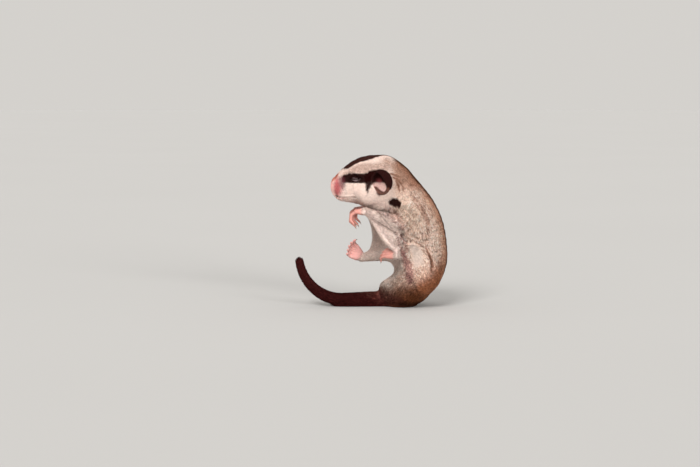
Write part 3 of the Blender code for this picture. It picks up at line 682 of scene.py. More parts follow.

# Markings seen from the side, some of them painted shade and sheen, as strokes of x, z and radius rows.
# Later ones lie over earlier ones.
BACK_FOLD_SHADE = ((2.3, 42.6, 0.5), (5.3, 38.8, 0.9), (7.2, 35.4, 0.9), (8.0, 31.3, 0.5), (7.6, 25.8, 0.1))
KNEE_SHEEN_PATCH = ((2.9, 23.8, 1.3), (4.4, 21.2, 2.0), (4.6, 18.6, 1.9), (4.0, 16.8, 1.1))
ARM_EDGE = ((-14.4, 36.3, 0.8), (-12.9, 35.6, 1.1), (-10.6, 32.5, 1.2), (-7.9, 28.7, 1.3))
MEMBRANE_CREASE_SHADE = ((-10.6, 36.9, 0.1), (-7.8, 33.9, 0.25), (-6.0, 31.7, 0.2), (-4.8, 30.4, 0.05))
ARM_TOP = ((-14.6, 38.9, 0.9), (-11.2, 38.3, 1.5), (-7.4, 37.0, 2.0), (-3.7, 34.7, 2.0), (-1.4, 31.4, 1.3))

FLANK_MARKS = (
    # Trunk: tan shoulder, a brown band of painted shade along the fold behind it, and a dark low edge of the
    # rump, partly dark coat and partly painted shadow where it meets the floor.
    Mark(((-2.2, 36.7, 3.4), (2.3, 34.4, 3.5), (3.0, 30.7, 2.2)), SHOULDER_TAN, 0.7, 4.0),
    Mark(((12.8, 15.5, 1.5), (10.6, 10.6, 2.2), (5.3, 6.8, 2.2), (-2.2, 5.7, 2.6)), RUMP, 0.65, 5.0),
    Mark(((-9.5, 4.8, 2.6), (-6.0, 3.6, 2.6), (-1.0, 1.8, 1.8)), TAIL_BROWN, 0.85, 4.5),
    Mark(((-1.0, 1.4, 1.4), (4.0, 1.2, 1.2), (8.5, 2.4, 0.7), (12.0, 6.0, 0.5)), BACK_DARK, 0.85, 2.6),
    Mark(BACK_FOLD_SHADE, BROWN_AND_FOLD_SHADE, 0.7, 2.8),
    # Leg: pale knee with a painted sheen on it, a band of painted soft shade down to a grey smudge before it,
    # and painted shade in the folds round it.
    Mark(((-3.4, 28.7, 0.4), (-2.3, 24.9, 0.6), (-0.8, 21.2, 1.0)), GREY, 0.6, 1.4),
    Mark(((-0.8, 21.2, 0.9), (0.3, 18.2, 1.3), (1.1, 14.8, 1.5), (1.8, 11.5, 1.2)), GREY, 0.85, 1.8),
    Mark(((-1.8, 27.4, 0.5), (0.2, 24.2, 0.6), (1.0, 21.8, 0.4)), GREY, 0.6, 1.0),
    Mark(KNEE_SHEEN_PATCH, PALE_LEG_AND_SHEEN, 0.97, 1.6),
    Mark(((-2.0, 28.4, 0.05), (1.3, 26.9, 0.3), (5.2, 24.6, 0.3), (7.4, 23.5, 0.3)), BACK_DARK, 0.75, 0.8),
    Mark(((7.4, 23.5, 0.3), (9.3, 19.2, 0.6), (9.9, 16.2, 0.6), (8.9, 12.9, 0.3)), BROWN_AND_FOLD_SHADE, 0.9, 1.3),
    Mark(((8.6, 20.4, 0.1), (9.3, 18.2, 0.3), (9.5, 15.8, 0.1)), BACK_DARK, 0.6, 0.8),
    # Arm: grey above, pale along its lower edge and the membrane's, and painted shade along its creases.
    Mark(ARM_TOP, GREY, 0.55, 1.8),
    Mark(((-9.0, 33.4, 0.5), (-6.4, 31.4, 0.6), (-4.2, 29.9, 0.3)), PALE_EDGE, 0.7, 0.9),
    Mark(ARM_EDGE, PALE_EDGE, 0.92, 1.4),
    Mark(((-7.9, 28.7, 1.3), (-5.2, 25.3, 1.2), (-3.3, 22.3, 1.0), (-2.4, 19.8, 0.7)), PALE_EDGE, 0.9, 1.2),
    Mark(((-11.4, 33.7, 0.1), (-7.3, 31.0, 0.22), (-4.8, 29.5, 0.05)), BACK_DARK, 0.65, 0.6),
    Mark(MEMBRANE_CREASE_SHADE, BACK_DARK, 0.65, 0.8),
    # Head: brown streaks behind the ear, a small mark under the cheek.
    Mark(((-6.0, 50.8, 0.4), (-3.9, 50.2, 0.5), (-2.0, 49.4, 0.2)), BROWN_AND_FOLD_SHADE, 0.9, 0.8),
    Mark(((-5.0, 49.5, 0.4), (-3.2, 48.6, 0.5), (-1.6, 47.2, 0.2)), BROWN_AND_FOLD_SHADE, 0.9, 0.8),
    Mark(((-3.8, 48.0, 0.3), (-2.9, 46.4, 0.5), (-2.5, 44.4, 0.2)), BROWN_AND_FOLD_SHADE, 0.95, 0.8),
    Mark(((-2.5, 47.8, 0.3), (-1.3, 46.2, 0.4), (-1.0, 44.4, 0.2)), BROWN_AND_FOLD_SHADE, 0.9, 0.8),
    Mark(((-10.8, 40.7, 0.3), (-8.4, 40.6, 0.35)), BACK_EDGE, 0.7, 0.8),
)

# Markings of the far side of the head, as strokes of x, y, z and radius rows.
UNDER_CHEEK = (
    (-24.2, 2.2, 42.0, 2.6), (-20.0, 5.0, 42.8, 3.6), (-14.5, 8.0, 43.0, 3.4),
    (-9.0, 8.6, 42.0, 2.6), (-5.6, 8.6, 42.0, 1.4),
)
OVER_BROW = (
    (-23.5, 4.3, 50.2, 1.0), (-20.4, 6.6, 52.0, 1.6), (-15.0, 8.0, 53.0, 2.4), (-9.0, 8.6, 53.2, 2.6),
)
MARKS = (
    Mark(UNDER_CHEEK, CREAM, 1.0, 1.8),
    Mark(((-19.0, 5.0, 43.8, 3.4), (-13.0, 8.0, 43.4, 3.2), (-9.4, 8.6, 43.6, 1.8)), CREAM, 1.0, 1.4),
    Mark(OVER_BROW, FOREHEAD, 1.0, 2.0),
    Mark(((-7.4, 5.5, 55.4, 1.6), (-4.0, 6.5, 52.4, 2.0), (-0.6, 7.0, 48.6, 2.0)), CROWN_TAN, 0.75, 4.0),
)

# Dark head markings: crown stripe, eye band, bar behind the eye, and the spot below the ear.
CROWN_STRIPE = (
    (-24.6, 0.0, 50.4, 0.2), (-22.8, 0.0, 52.2, 1.3), (-21.3, 0.0, 53.3, 2.8), (-19.6, 0.0, 54.5, 4.9),
    (-16.4, 0.0, 56.2, 5.3), (-13.2, 0.0, 57.2, 4.1), (-10.8, 0.0, 57.7, 2.3),
)
NAPE_STRIPE = ((-10.8, 0.0, 57.8, 2.2), (-7.0, 0.0, 57.9, 1.3), (-3.0, 0.0, 55.8, 0.9), (1.2, 0.0, 52.0, 1.0))
EYE_BAND = (
    (-23.2, 5.0, 48.8, 1.5), (-21.6, 6.2, 49.0, 1.9), (-18.6, 8.0, 49.0, 1.95),
    (-15.6, 9.0, 49.1, 1.8), (-13.0, 9.3, 50.1, 2.0),
)
OVER_EAR = (
    (-13.2, 9.2, 50.4, 1.9), (-10.6, 9.8, 51.0, 1.9), (-8.0, 10.4, 51.0, 1.7), (-6.4, 10.6, 50.6, 1.3),
)
BAR = ((-14.0, 9.2, 49.0, 1.9), (-14.2, 9.5, 47.0, 1.2), (-14.5, 9.7, 45.4, 0.7), (-14.6, 9.7, 44.2, 0.5))
SPOT = ((-5.6, 6.9, 40.4, 1.1), (-4.3, 8.2, 40.1, 1.6), (-3.1, 9.0, 39.7, 1.4), (-2.8, 9.4, 38.9, 0.8))
DARK_MARKS = (
    Mark(CROWN_STRIPE, CROWN_BLACK, 0.98, 0.7),
    Mark(NAPE_STRIPE, BACK_DARK, 0.9, 0.9),
    Mark(EYE_BAND, BLACK, 0.99, 0.6),
    Mark(((-22.8, 4.9, 51.3, 0.1), (-22.5, 5.0, 49.8, 0.25)), BLACK, 0.8, 0.4),
    Mark(OVER_EAR, BLACK, 0.98, 0.9),
    Mark(BAR, BLACK, 0.98, 0.5),
    Mark(((-14.6, 9.7, 44.2, 0.5), (-14.7, 9.5, 42.0, 0.3)), EAR_LIP_BROWN, 0.7, 0.7),
    Mark(SPOT, BLACK, 0.99, 0.6),
)

# The trunk's middle line from the rump up to the shoulders, from which the belly lies forward.
TRUNK_MIDDLE, _, TRUNK_HEIGHTS, _, _ = zip(*SPINE[:0:-1])


def spine_colour(points):
    """The trunk's colour: dark along the back's middle line, pale on the belly, darker low on the rump."""
    x, y, z = points.T
    side = np.abs(y) + 1.4 * (noise(points, 1.6) - 0.5) + 0.8 * (noise(points, 0.5) - 0.5)
    low = fade(z, 26, 7)
    outer = np.maximum(x - 5.0, z - 44.0)
    on_back = fade(outer, -2, 3) * fade(z, 1, 7) * fade(x, -9, -3)
    forward = np.interp(z, TRUNK_HEIGHTS, TRUNK_MIDDLE) - x
    belly = fade(forward, 4.5, 8.0) * fade(z, 7, 11)
    return layered(
        np.tile(BACK, (len(points), 1)),
        (
            (RUMP, fade(z - 0.4 * (x - 3), 18, 4)),
            (BACK_EDGE, 0.75 * (1 - fade(side, 4.6 + 4 * low, 10.0 + 4 * low)) * on_back),
            (BROWN_AND_FOLD_SHADE, 0.55 * fade(z, 41, 46) * fade(side, 10.5, 6.0) * on_back),
            (BACK_DARK, 0.92 * fade(side, 4.4, 2.0) * on_back),
            (CREAM, 0.95 * belly),
        ),
    )


def mix(colour, other, share):
    """The colour with each point's share of another in it."""
    return colour * (1 - share[:, None]) + np.array(other) * share[:, None]


def layered(colour, layers):
    """The colour with others mixed into it, one after another."""
    for other, share in layers:
        colour = mix(colour, other, share)
    return colour


def marked(points, colour, marks):
    """The colour with the marks' strokes laid over it."""
    shares = [mark.strength * near_stroke(points, mark.rows, mark.softness) for mark in marks]
    return layered(colour, zip([mark.colour for mark in marks], shares))


def ear_colour(points, colour):
    """The ear's black hood and back edge (partly painted shade inside the bowl), brown lip, and pink bowl
    with a red hollow at its top.
    """
    for side in (NEAR, FAR):
        local = ear_places(points, side)
        rearward, height, outward = local.T
        level = rearward * math.cos(EAR_TURN) - outward * math.sin(EAR_TURN)
        close = near_place(local, (0, 0, 0), (5.6, 5.8, 4.2))
        bowl = ellipsoid_distance(local, EAR_HALF_SIZES)
        inside = smoothstep(0.5 - bowl / 0.3)
        on_ear = smoothstep(1.5 - ear_distance(points, side) / 0.5)
        back = fade(level + 0.45 * height - 0.6 * inside, -0.2, 0.7) * fade(height, -3.4, -2.6)
        hood = fade(height + 0.08 * (level + 1.2) ** 2 - 0.15 * inside, -0.9, 0.1)
        behind = fade(height, -3.2, -2.2) * fade(level, 0, 1.0) * (1 - inside)
        # Inside the bowl this black is partly dark skin and partly painted shade under the hood.
        dark = np.max([hood, back, behind], axis=0)
        shell = mix(np.tile(EAR_PINK, (len(points), 1)), BLACK, dark)
        hollow = near_place(np.column_stack((level, height)), (-0.7, 0.1), (0.6, 0.9))
        shell = mix(shell, EAR_RED, hollow * inside)
        from_lip = bones_distance(points, ear_lip(side))
        shell = mix(shell, EAR_LIP_BROWN, 0.95 * fade(from_lip, 0.95, 0.3))
        share = np.maximum(on_ear * np.maximum(dark, inside), inside * fade(close, 0.2, 0.5))
        share = np.maximum(share, smoothstep(1.4 - from_lip / 0.35))
        colour = mix(colour, shell, share)
    return colour


PORE_ROWS = 6
PORES_IN_A_ROW = 5
PORE_SPACING = 0.78
PORE_ROW_SPACING = 0.92 * PORE_SPACING
PORE_RADIUS = 0.16
PORE_START = (-26.5, 47.1)


def pore_places(side):
    """Where the whiskers stand: level rows on the whisker pad, from the nose back."""
    found = []
    for row in range(PORE_ROWS):
        for number in range(PORES_IN_A_ROW):
            x = PORE_START[0] + (number + 0.5 * (row % 2)) * PORE_SPACING
            found.append((x, side * (2.4 + 0.5 * number), PORE_START[1] - row * PORE_ROW_SPACING))
    return found


def pores(points):
    """1 at a whisker's pore on the side of the muzzle, 0 between them."""
    points = points + 0.5 * (np.column_stack([noise(points + shift, 0.9) for shift in (3, 17, 29)]) - 0.5)
    x, y, z = points.T
    column = (x - PORE_START[0]) / PORE_SPACING
    row = (PORE_START[1] - z) / PORE_ROW_SPACING
    column = column - 0.5 * (np.round(row) % 2)
    off = np.hypot((column - np.round(column)) * PORE_SPACING, (row - np.round(row)) * PORE_SPACING)
    there = fade(column, -0.6, 0.0) * fade(column, PORES_IN_A_ROW - 0.4, PORES_IN_A_ROW - 1.0)
    there *= fade(row, -0.6, 0.0) * fade(row, PORE_ROWS - 0.4, PORE_ROWS - 1.0)
    return there * smoothstep(1.5 - off / PORE_RADIUS) * fade(np.abs(y), 1.5, 2.2)


# Bare lip, nose, the nose's rusty top and the nostril, as strokes of x, y, z and radius rows.
LIP = ((-27.0, 0.6, 42.3, 0.8), (-25.2, 2.4, 41.0, 1.1), (-22.6, 3.8, 40.6, 1.0))
NOSTRIL_RIM = 0.15
BARE_MARKS = (
    Mark(LIP, LIP_PINK, 0.85, 1.0),
    Mark(((-28.3, 0.6, 46.2, 1.7), (-28.0, 0.6, 44.2, 1.3)), NOSE_PINK, 1.0, 1.9),
    Mark(((-27.2, 0.8, 48.4, 1.3), (-25.9, 1.2, 49.4, 1.0)), NOSE_ORANGE, 0.9, 1.2),
    Mark([(*place, NOSTRIL_RIM) for place in NOSTRIL], MUZZLE_DARK, 0.8, 0.5),
)

# Patches of the muzzle and the paws seen from the side, as strokes of x, z and radius rows.
MUZZLE_PATCH = ((-25.9, 48.0, 1.0), (-25.7, 45.4, 1.8), (-25.8, 43.2, 1.3))
MUZZLE_REAR = ((-24.2, 48.6, 0.9), (-24.0, 47.2, 1.1), (-23.8, 45.2, 0.5))
BACK_OF_HAND = ((-14.4, 37.2, 1.0), (-15.8, 37.4, 0.8))

# The painted highlights on the edges of the closed lids, as lines back and up from the middle of the slit.
LID_LINES = (
    Bone((-1.1, 0.50, 0), (0.8, 0.42, 0), 0.09, 0.05, 1.0),
    Bone((-1.0, -0.38, 0), (1.3, -0.52, 0), 0.06, 0.11, 1.0),
)


def bare_colour(points, colour):
    """Pink paws with the far foot painted lighter, muzzle, nose and lips, and painted highlights on the wet
    lid edges.
    """
    mirrored = folded(points)
    beside = mirrored[:, 1]
    paws = paw_bareness(points)
    # The far foot painted lighter: partly its paler sole, partly painted light falling on it.
    sole = smoothstep(1.0 - bones_distance(points, foot(FAR)) / 0.8)
    layers = (
        (PAW_PINK, paws),
        (LIT_SOLE_PINK, 0.8 * paws * sole),
        (PAW_PALE, 0.8 * paws * side_stroke(points, BACK_OF_HAND, 3.0)),
        (MUZZLE_PINK, side_stroke(points, MUZZLE_PATCH, 2.8) * fade(beside, 0.4, 2.4)),
        (MUZZLE_DARK, 0.75 * side_stroke(points, MUZZLE_REAR, 1.5) * fade(beside, 0.9, 2.6)),
        (MUZZLE_DARK, 0.9 * pores(points)),
    )
    colour = marked(mirrored, layered(colour, layers), BARE_MARKS)
    for side in (NEAR, FAR):
        centre, outward, along, up = eye_axes(side)
        local = (points - np.array(centre)) @ np.array((-side * along, up, outward)).T
        reach, height, depth = np.abs(local.T)
        on_lids = smoothstep(2.4 - reach / 0.8) * (depth < 1.2)
        colour = mix(colour, BLACK, smoothstep(2 - height / 0.6) * on_lids)
        # Pale lines of painted highlight along the moist lid edges.
        for line in LID_LINES:
            off = bone_distance(local * np.array((1, 1, 0)), line)
            colour = mix(colour, LID_HIGHLIGHT, smoothstep(0.5 - off / 0.16) * (depth < 1.2))
    return colour


# A flank mark with a softer edge than this is speckled.
SPECKLED_FROM = 1.7


def coat_colour(points):
    """The colour of the skin or of a tuft rooted at each point."""
    mirrored = folded(points)
    wander = np.column_stack([noise(mirrored + shift, 0.7) for shift in (0, 11, 23)]) - 0.5
    colour = spine_colour(points)
    x, y, z = mirrored.T
    outside = np.maximum(fade(y, 5.0, 7.5), fade(z, 10, 7))
    specks = noise(points, 0.38)
    for mark in FLANK_MARKS:
        share = side_stroke(mirrored + wander * min(0.7, 0.4 * mark.softness), mark.rows, mark.softness)
        if mark.softness > SPECKLED_FROM:
            share = np.clip(share * (0.35 + 1.3 * specks), 0, 1)
        share = smoothstep(share + 1.6 * (noise(points, 0.45) - 0.5) * share * (1 - share))
        colour = mix(colour, mark.colour, mark.strength * outside * share)
    colour = marked(mirrored, colour, MARKS)
    ahead = x + 1.5 * z + 6.0 * (noise(points, 0.4) - 0.5) + 3.0 * (noise(points, 1.3) - 0.5)
    on_tail = smoothstep(1.0 - bones_distance(points, chain(tail_rows(), 1)) / 2.0)
    colour = mix(colour, TAIL_BROWN, 0.9 * on_tail * fade(ahead, 8.0, 1.0))
    colour = mix(colour, TAIL_BLACK, 0.97 * on_tail * fade(ahead, -1.0, -9.0))
    ragged = mirrored + wander * 0.55 + 0.3 * (noise(points, 0.3) - 0.5)[:, None]
    colour = marked(ragged, colour, DARK_MARKS)
    return bare_colour(points, ear_colour(points, colour))


def shown(name, data):
    """A new object in the scene that shows a mesh, a light or a camera."""
    made = bpy.data.objects.new(name, data)
    bpy.context.scene.collection.objects.link(made)
    return made


def object_from(bm, name):
    mesh = bpy.data.meshes.new(name)
    bm.to_mesh(mesh)
    bm.free()
    return shown(name, mesh)


def add_bone(bm, bone):
    """Adds a closed piece: the hull of the spheres at a bone's two ends."""
    piece = bmesh.new()
    for centre, radius in ((bone.start, bone.start_radius), (bone.end, bone.end_radius)):
        placed = Matrix.Translation(Vector(centre) * MM) @ Matrix.Diagonal((1, bone.width, 1, 1))
        bmesh.ops.create_icosphere(piece, subdivisions=2, radius=radius * MM, matrix=placed)
    hull = bmesh.ops.convex_hull(piece, input=piece.verts[:])
    inner = [part for part in hull["geom_interior"] if isinstance(part, bmesh.types.BMVert)]
    bmesh.ops.delete(piece, geom=inner, context="VERTS")
    copied = bpy.data.meshes.new("bone")
    piece.to_mesh(copied)
    piece.free()
    bm.from_mesh(copied)
    bpy.data.meshes.remove(copied)


def add_sheet(bm, triangles, half_thickness):
    """A closed prism for each triangle of a sheet."""
    for triangle in triangles:
        corners = [Vector(corner) for corner in triangle]
        normal = (corners[1] - corners[0]).cross(corners[2] - corners[0]).normalized()
        offsets = (-normal * half_thickness, normal * half_thickness)
        made = [bm.verts.new((corner + offset) * MM) for corner in corners for offset in offsets]
        bmesh.ops.convex_hull(bm, input=made)


def add_ear(bm, side):
    """The ear's cup as a closed piece: an ellipsoid cut open and given a wall."""
    cup = bmesh.new()
    bmesh.ops.create_uvsphere(cup, u_segments=32, v_segments=20, radius=1)
    bmesh.ops.scale(cup, vec=Vector(EAR_HALF_SIZES) * MM, verts=cup.verts)
    everything = cup.verts[:] + cup.edges[:] + cup.faces[:]
    opening, beyond = (0, 0, EAR_OPENING * MM), (-EAR_TILT[0], -EAR_TILT[1], 1)
    bmesh.ops.bisect_plane(cup, geom=everything, plane_co=opening, plane_no=beyond, clear_outer=True)
    turned = Matrix(ear_frame(side).T.tolist()).to_4x4()
    moved = Matrix.Translation(Vector(flipped(EAR_CENTRE, side)) * MM)
    bmesh.ops.transform(cup, matrix=moved @ turned, verts=cup.verts)
    made = object_from(cup, "ear_cup")
    wall = made.modifiers.new("wall", "SOLIDIFY")
    wall.thickness = EAR_WALL * MM
    wall.offset = 0
    apply_modifiers(made)
    bm.from_mesh(made.data)
    bpy.data.objects.remove(made)


def apply_modifiers(mesh_object):
    graph = bpy.context.evaluated_depsgraph_get()
    result = bpy.data.meshes.new_from_object(mesh_object.evaluated_get(graph))
    mesh_object.modifiers.clear()
    old = mesh_object.data
    mesh_object.data = result
    bpy.data.meshes.remove(old)


def rows_of(items, name, width, kind=np.float32):
    """One value of each of a mesh's items, a row for each item."""
    found = np.empty(len(items) * width, kind)
    items.foreach_get(name, found)
    return found.reshape(-1, width)


def places(mesh):
    """The mesh's points in millimetres."""
    return rows_of(mesh.vertices, "co", 3, float) / MM


def move_points(mesh, points):
    mesh.vertices.foreach_set("co", (points * MM).ravel())
    mesh.update()


def skin_distance(points):
    """The body's distance, cut off flat at the floor."""
    return -blended(-body_distance(points), points[:, 2] - FLOOR_GAP, 0.3)


def settle(mesh_object, rounds):
    """Moves every point onto the skin, which lies under the tips of the coat by the coat's depth."""
    mesh = mesh_object.data
    points = places(mesh)
    depth = coat_depth(points)
    for _ in range(rounds):
        here = skin_distance(points)
        ahead = [skin_distance(points + SLOPE_STEP * axis) for axis in np.eye(3)]
        slope = np.stack([(there - here) / SLOPE_STEP for there in ahead], axis=1)
        steepness = np.maximum((slope**2).sum(axis=1), 0.2)
        points -= np.clip((here + depth) / steepness, -LONGEST_MOVE, LONGEST_MOVE)[:, None] * slope
    move_points(mesh, points)


def wants_detail(points):
    """Where the skin needs finer faces: the front of the face, the ears and the paws."""
    found = nearby(points, FACE_BOX, 0)
    for side in (NEAR, FAR):
        found |= nearby(points, [flipped(EAR_CENTRE, side)], 5.6)
        found |= bones_distance(points, hand(side)) < DETAIL_MARGIN
        found |= bones_distance(points, foot(side)) < DETAIL_MARGIN
    return found


def wants_finest(points):
    """Where the faces are split once more: the muzzle, the lids and the mouth."""
    found = nearby(points, MUZZLE_BOX, 0)
    for side in (NEAR, FAR):
        found |= bones_distance(points, thread(slit_route(side, 0), 1.2)) < 0.3
        found |= bones_distance(points, thread(on_side(MOUTH, side), MOUTH_RADIUS)) < 1.0
    return found


def split_faces(mesh_object, chosen):
    """Divides each chosen face in four."""
    bm = bmesh.new()
    bm.from_mesh(mesh_object.data)
    bm.verts.ensure_lookup_table()
    edges = {e for face in bm.faces if all(chosen[v.index] for v in face.verts) for e in face.edges}
    bmesh.ops.subdivide_edges(bm, edges=list(edges), cuts=1, use_grid_fill=True)
    bm.to_mesh(mesh_object.data)
    bm.free()


def relax(mesh_object, chosen, rounds):
    """Moves each chosen point to the middle of its neighbours, which smooths out any pleats."""
    mesh = mesh_object.data
    points = places(mesh)
    edges = rows_of(mesh.edges, "vertices", 2, np.int32)
    first, second = edges.T
    count = np.bincount(edges.ravel(), minlength=len(points))
    for _ in range(rounds):
        total = np.zeros_like(points)
        for axis in range(3):
            total[:, axis] = np.bincount(first, points[second, axis], len(points))
            total[:, axis] += np.bincount(second, points[first, axis], len(points))
        points[chosen] = (total / count[:, None])[chosen]
    move_points(mesh, points)


def keep_largest(mesh_object):
    """Drops loose scraps, so that one closed surface is left."""
    bm = bmesh.new()
    bm.from_mesh(mesh_object.data)
    unseen, largest = set(bm.verts), set()
    while unseen:
        island, front = set(), [unseen.pop()]
        while front:
            vertex = front.pop()
            island.add(vertex)
            for edge in vertex.link_edges:
                other = edge.other_vert(vertex)
                if other in unseen:
                    unseen.discard(other)
                    front.append(other)
        largest = max(largest, island, key=len)
    bmesh.ops.delete(bm, geom=[v for v in bm.verts if v not in largest], context="VERTS")
    bm.to_mesh(mesh_object.data)
    bm.free()


def add_bones(bm, bones):
    for bone in bones:
        add_bone(bm, bone)


def fuse_pieces(mesh_object):
    """Fuses the object's closed pieces into one even surface."""
    fuse = mesh_object.modifiers.new("fuse", "REMESH")
    fuse.mode = "VOXEL"
    fuse.voxel_size = SKIN_VOXEL * MM
    apply_modifiers(mesh_object)


def add_trunk(bm):
    """Adds the spine's masses as one closed piece, with the belly's hollow taken out."""
    whole, bar = bmesh.new(), bmesh.new()
    add_bones(whole, chain(SPINE))
    for bones, _ in trunk_masses():
        add_bones(whole, bones)
    add_bones(bar, thread(BELLY_HOLLOW, HOLLOW_RADIUS, 1))
    trunk, hollow = object_from(whole, "trunk"), object_from(bar, "hollow")
    fuse_pieces(trunk)
    cut = trunk.modifiers.new("cut", "BOOLEAN")
    cut.operation = "DIFFERENCE"
    cut.solver = "MANIFOLD"
    cut.object = hollow
    apply_modifiers(trunk)
    bm.from_mesh(trunk.data)
    bpy.data.objects.remove(trunk)
    bpy.data.objects.remove(hollow)


def make_skin():
    """The fused skin. Its lips and lids are too thin for the first mesh, and grow out of it as it settles."""
    bm = bmesh.new()
    add_trunk(bm)
    for bones, _ in masses():
        if max(bone.start_radius for bone in bones) > THIN_THREAD:
            add_bones(bm, bones)
    for side in (NEAR, FAR):
        add_bones(bm, ear_lip(side))
        add_sheet(bm, membrane_triangles(side), MEMBRANE_HALF_THICKNESS)
        add_ear(bm, side)
    skin = object_from(bm, "skin")
    fuse_pieces(skin)
    keep_largest(skin)
    settle(skin, 5)
    split_faces(skin, wants_detail(places(skin.data)))
    settle(skin, 2)
    split_faces(skin, wants_finest(places(skin.data)))
    relax(skin, wants_finest(places(skin.data)), 12)
    settle(skin, 3)
    return skin


def unwrap(skin):
    """Unwraps the skin's own shape into the map that the coat's roots are also placed on."""
    bpy.context.view_layer.objects.active = skin
    skin.select_set(True)
    bpy.ops.object.mode_set(mode="EDIT")
    bpy.ops.mesh.select_all(action="SELECT")
    bpy.ops.uv.smart_project(angle_limit=1.15, island_margin=0.003)
    bpy.ops.object.mode_set(mode="OBJECT")
    skin.data.uv_layers[0].name = "OFBake"


def write_colours(mesh, colours):
    layer = mesh.color_attributes.new("tint", "FLOAT_COLOR", "POINT")
    opaque = np.column_stack((colours, np.ones(len(colours)))).astype(np.float32)
    layer.data.foreach_set("color", opaque.ravel())


def flow_bones():
    """Bones that point the way the coat lies: from nose to tail and from trunk to paw."""
    found = []
    for bones in (chain(SKULL), chain(JAW)):
        found += [(bone, np.array(bone.start) - np.array(bone.end)) for bone in bones]
    forward = chain(SPINE) + chain(tail_rows(), 1)[1:]
    for side in (NEAR, FAR):
        forward += upper_arm(side) + forearm(side) + thigh(side) + shank(side)
    return found + [(bone, np.array(bone.end) - np.array(bone.start)) for bone in forward]


def lie(points):
    """The way that the coat lies at each point: a mean of the bones' directions, led by the nearest."""
    flow = np.zeros_like(points)
    for bone, direction in flow_bones():
        closeness = (np.maximum(bone_distance(points, bone), 0) + 0.8) ** -4
        flow += closeness[:, None] * direction / np.linalg.norm(direction)
    return flow


def unit(rows):
    return rows / np.maximum(np.linalg.norm(rows, axis=1), 1e-9)[:, None]


def tuft_sizes(points, bare):
    """Each tuft's length and width: shortest and finest on the face and paws."""
    face, tail = face_share(points), tail_share(points)
    length = TUFT_LENGTH["body"] * (1 - face) + TUFT_LENGTH["face"] * face
    length = length * (1 - tail) + TUFT_LENGTH["tail"] * tail
    length *= 1 - 0.72 * bare
    width = TUFT_WIDTH * (1 - 0.3 * face) * (1 - 0.35 * bare)
    return length, width


Roots = namedtuple("Roots", "at normal uv bare lie")


def scatter_roots(skin, generator):
    """Picks the tufts' roots on the skin, closer together where the tufts are finer."""
    mesh = skin.data
    mesh.calc_loop_triangles()
    corners = rows_of(mesh.loop_triangles, "vertices", 3, np.int32)
    loops = rows_of(mesh.loop_triangles, "loops", 3, np.int32)
    points = places(mesh)
    normals = rows_of(mesh.vertices, "normal", 3)
    uvs = rows_of(mesh.uv_layers["OFBake"].data, "uv", 2)
    bare = bareness(points)
    a, b, c = (points[corners[:, i]] for i in range(3))
    area = np.linalg.norm(np.cross(b - a, c - a), axis=1) / 2
    face = face_share(points)
    want = (1 + 0.9 * face) * np.clip(1.08 - bare, 0, 1)
    weight = area * want[corners].mean(axis=1)
    weight[points[corners][:, :, 2].max(axis=1) < 0.05] = 0
    chosen = generator.choice(len(corners), TUFTS, p=weight / weight.sum())
    shares = generator.random((TUFTS, 2))
    over = shares.sum(axis=1) > 1
    shares[over] = 1 - shares[over]
    shares = np.column_stack((1 - shares.sum(axis=1), shares))

    def blend(values, index=corners):
        picked = values[index[chosen]]
        return (picked * shares.reshape(shares.shape + (1,) * (picked.ndim - 2))).sum(axis=1)

    return Roots(blend(points), unit(blend(normals)), blend(uvs, loops), blend(bare), blend(lie(points)))


# The speckled coat: shares of dark and pale tufts, how much darker, lighter and wider they are, and the
# limits of any tuft's lightness. On black coat the pale tufts are partly brown hairs and partly painted
# glints.
DARK_TICKS = 0.10
PALE_TICKS = 0.08
DARK_GAIN = 0.35
PALE_GAIN = 1.4
PALE_AND_GLINT_GAIN_ON_BLACK = 2.6
TICK_SWELL = 1.3
GAIN_LIMITS = (0.15, 2.6)
LIGHTEST_TUFT = 0.88


def ticked(roots, colours, generator):
    """Each tuft's colour with pale and dark ticks in it, and how much wider than the others it is."""
    fine = noise(roots.at, 0.30) + 0.8 * noise(roots.at + 7, 0.17) - 0.9
    broad = noise(roots.at, 2.0) - 0.5
    grain = generator.normal(0, 1, len(roots.at))
    luminance = colours.mean(axis=1)
    agouti = 0.22 + 0.78 * fade(colours[:, 2] / colours[:, 0], 0.70, 0.63)
    # Fewer ticks on the knee's pale patch with its painted sheen.
    agouti *= (0.4 + 0.6 * fade(luminance, 0.02, 0.10)) * (1 - 0.75 * side_stroke(roots.at, KNEE_SHEEN_PATCH, 1.6))
    agouti *= 1 - 0.4 * face_share(roots.at)
    dots = fade(noise(roots.at + 3, 0.38), 0.60, 0.74)
    gain = np.exp(agouti * (0.85 * fine + 0.42 * grain + 0.25 * broad)) * (1 - 0.6 * agouti * dots)
    tick = generator.random(len(roots.at))
    dark, pale = tick < DARK_TICKS * agouti, tick > 1 - PALE_TICKS * agouti
    # Pale tufts on black coat are lifted further: partly brown hairs, partly painted glints.
    pale_and_glint_lift = np.where(luminance < 0.05, PALE_AND_GLINT_GAIN_ON_BLACK, PALE_GAIN)
    gain = np.where(dark, gain * DARK_GAIN, np.where(pale, gain * pale_and_glint_lift, gain))
    shaded = colours * np.clip(gain, *GAIN_LIMITS)[:, None]
    return np.clip(shaded, 0, LIGHTEST_TUFT), np.where(dark | pale, TICK_SWELL, 1.0)


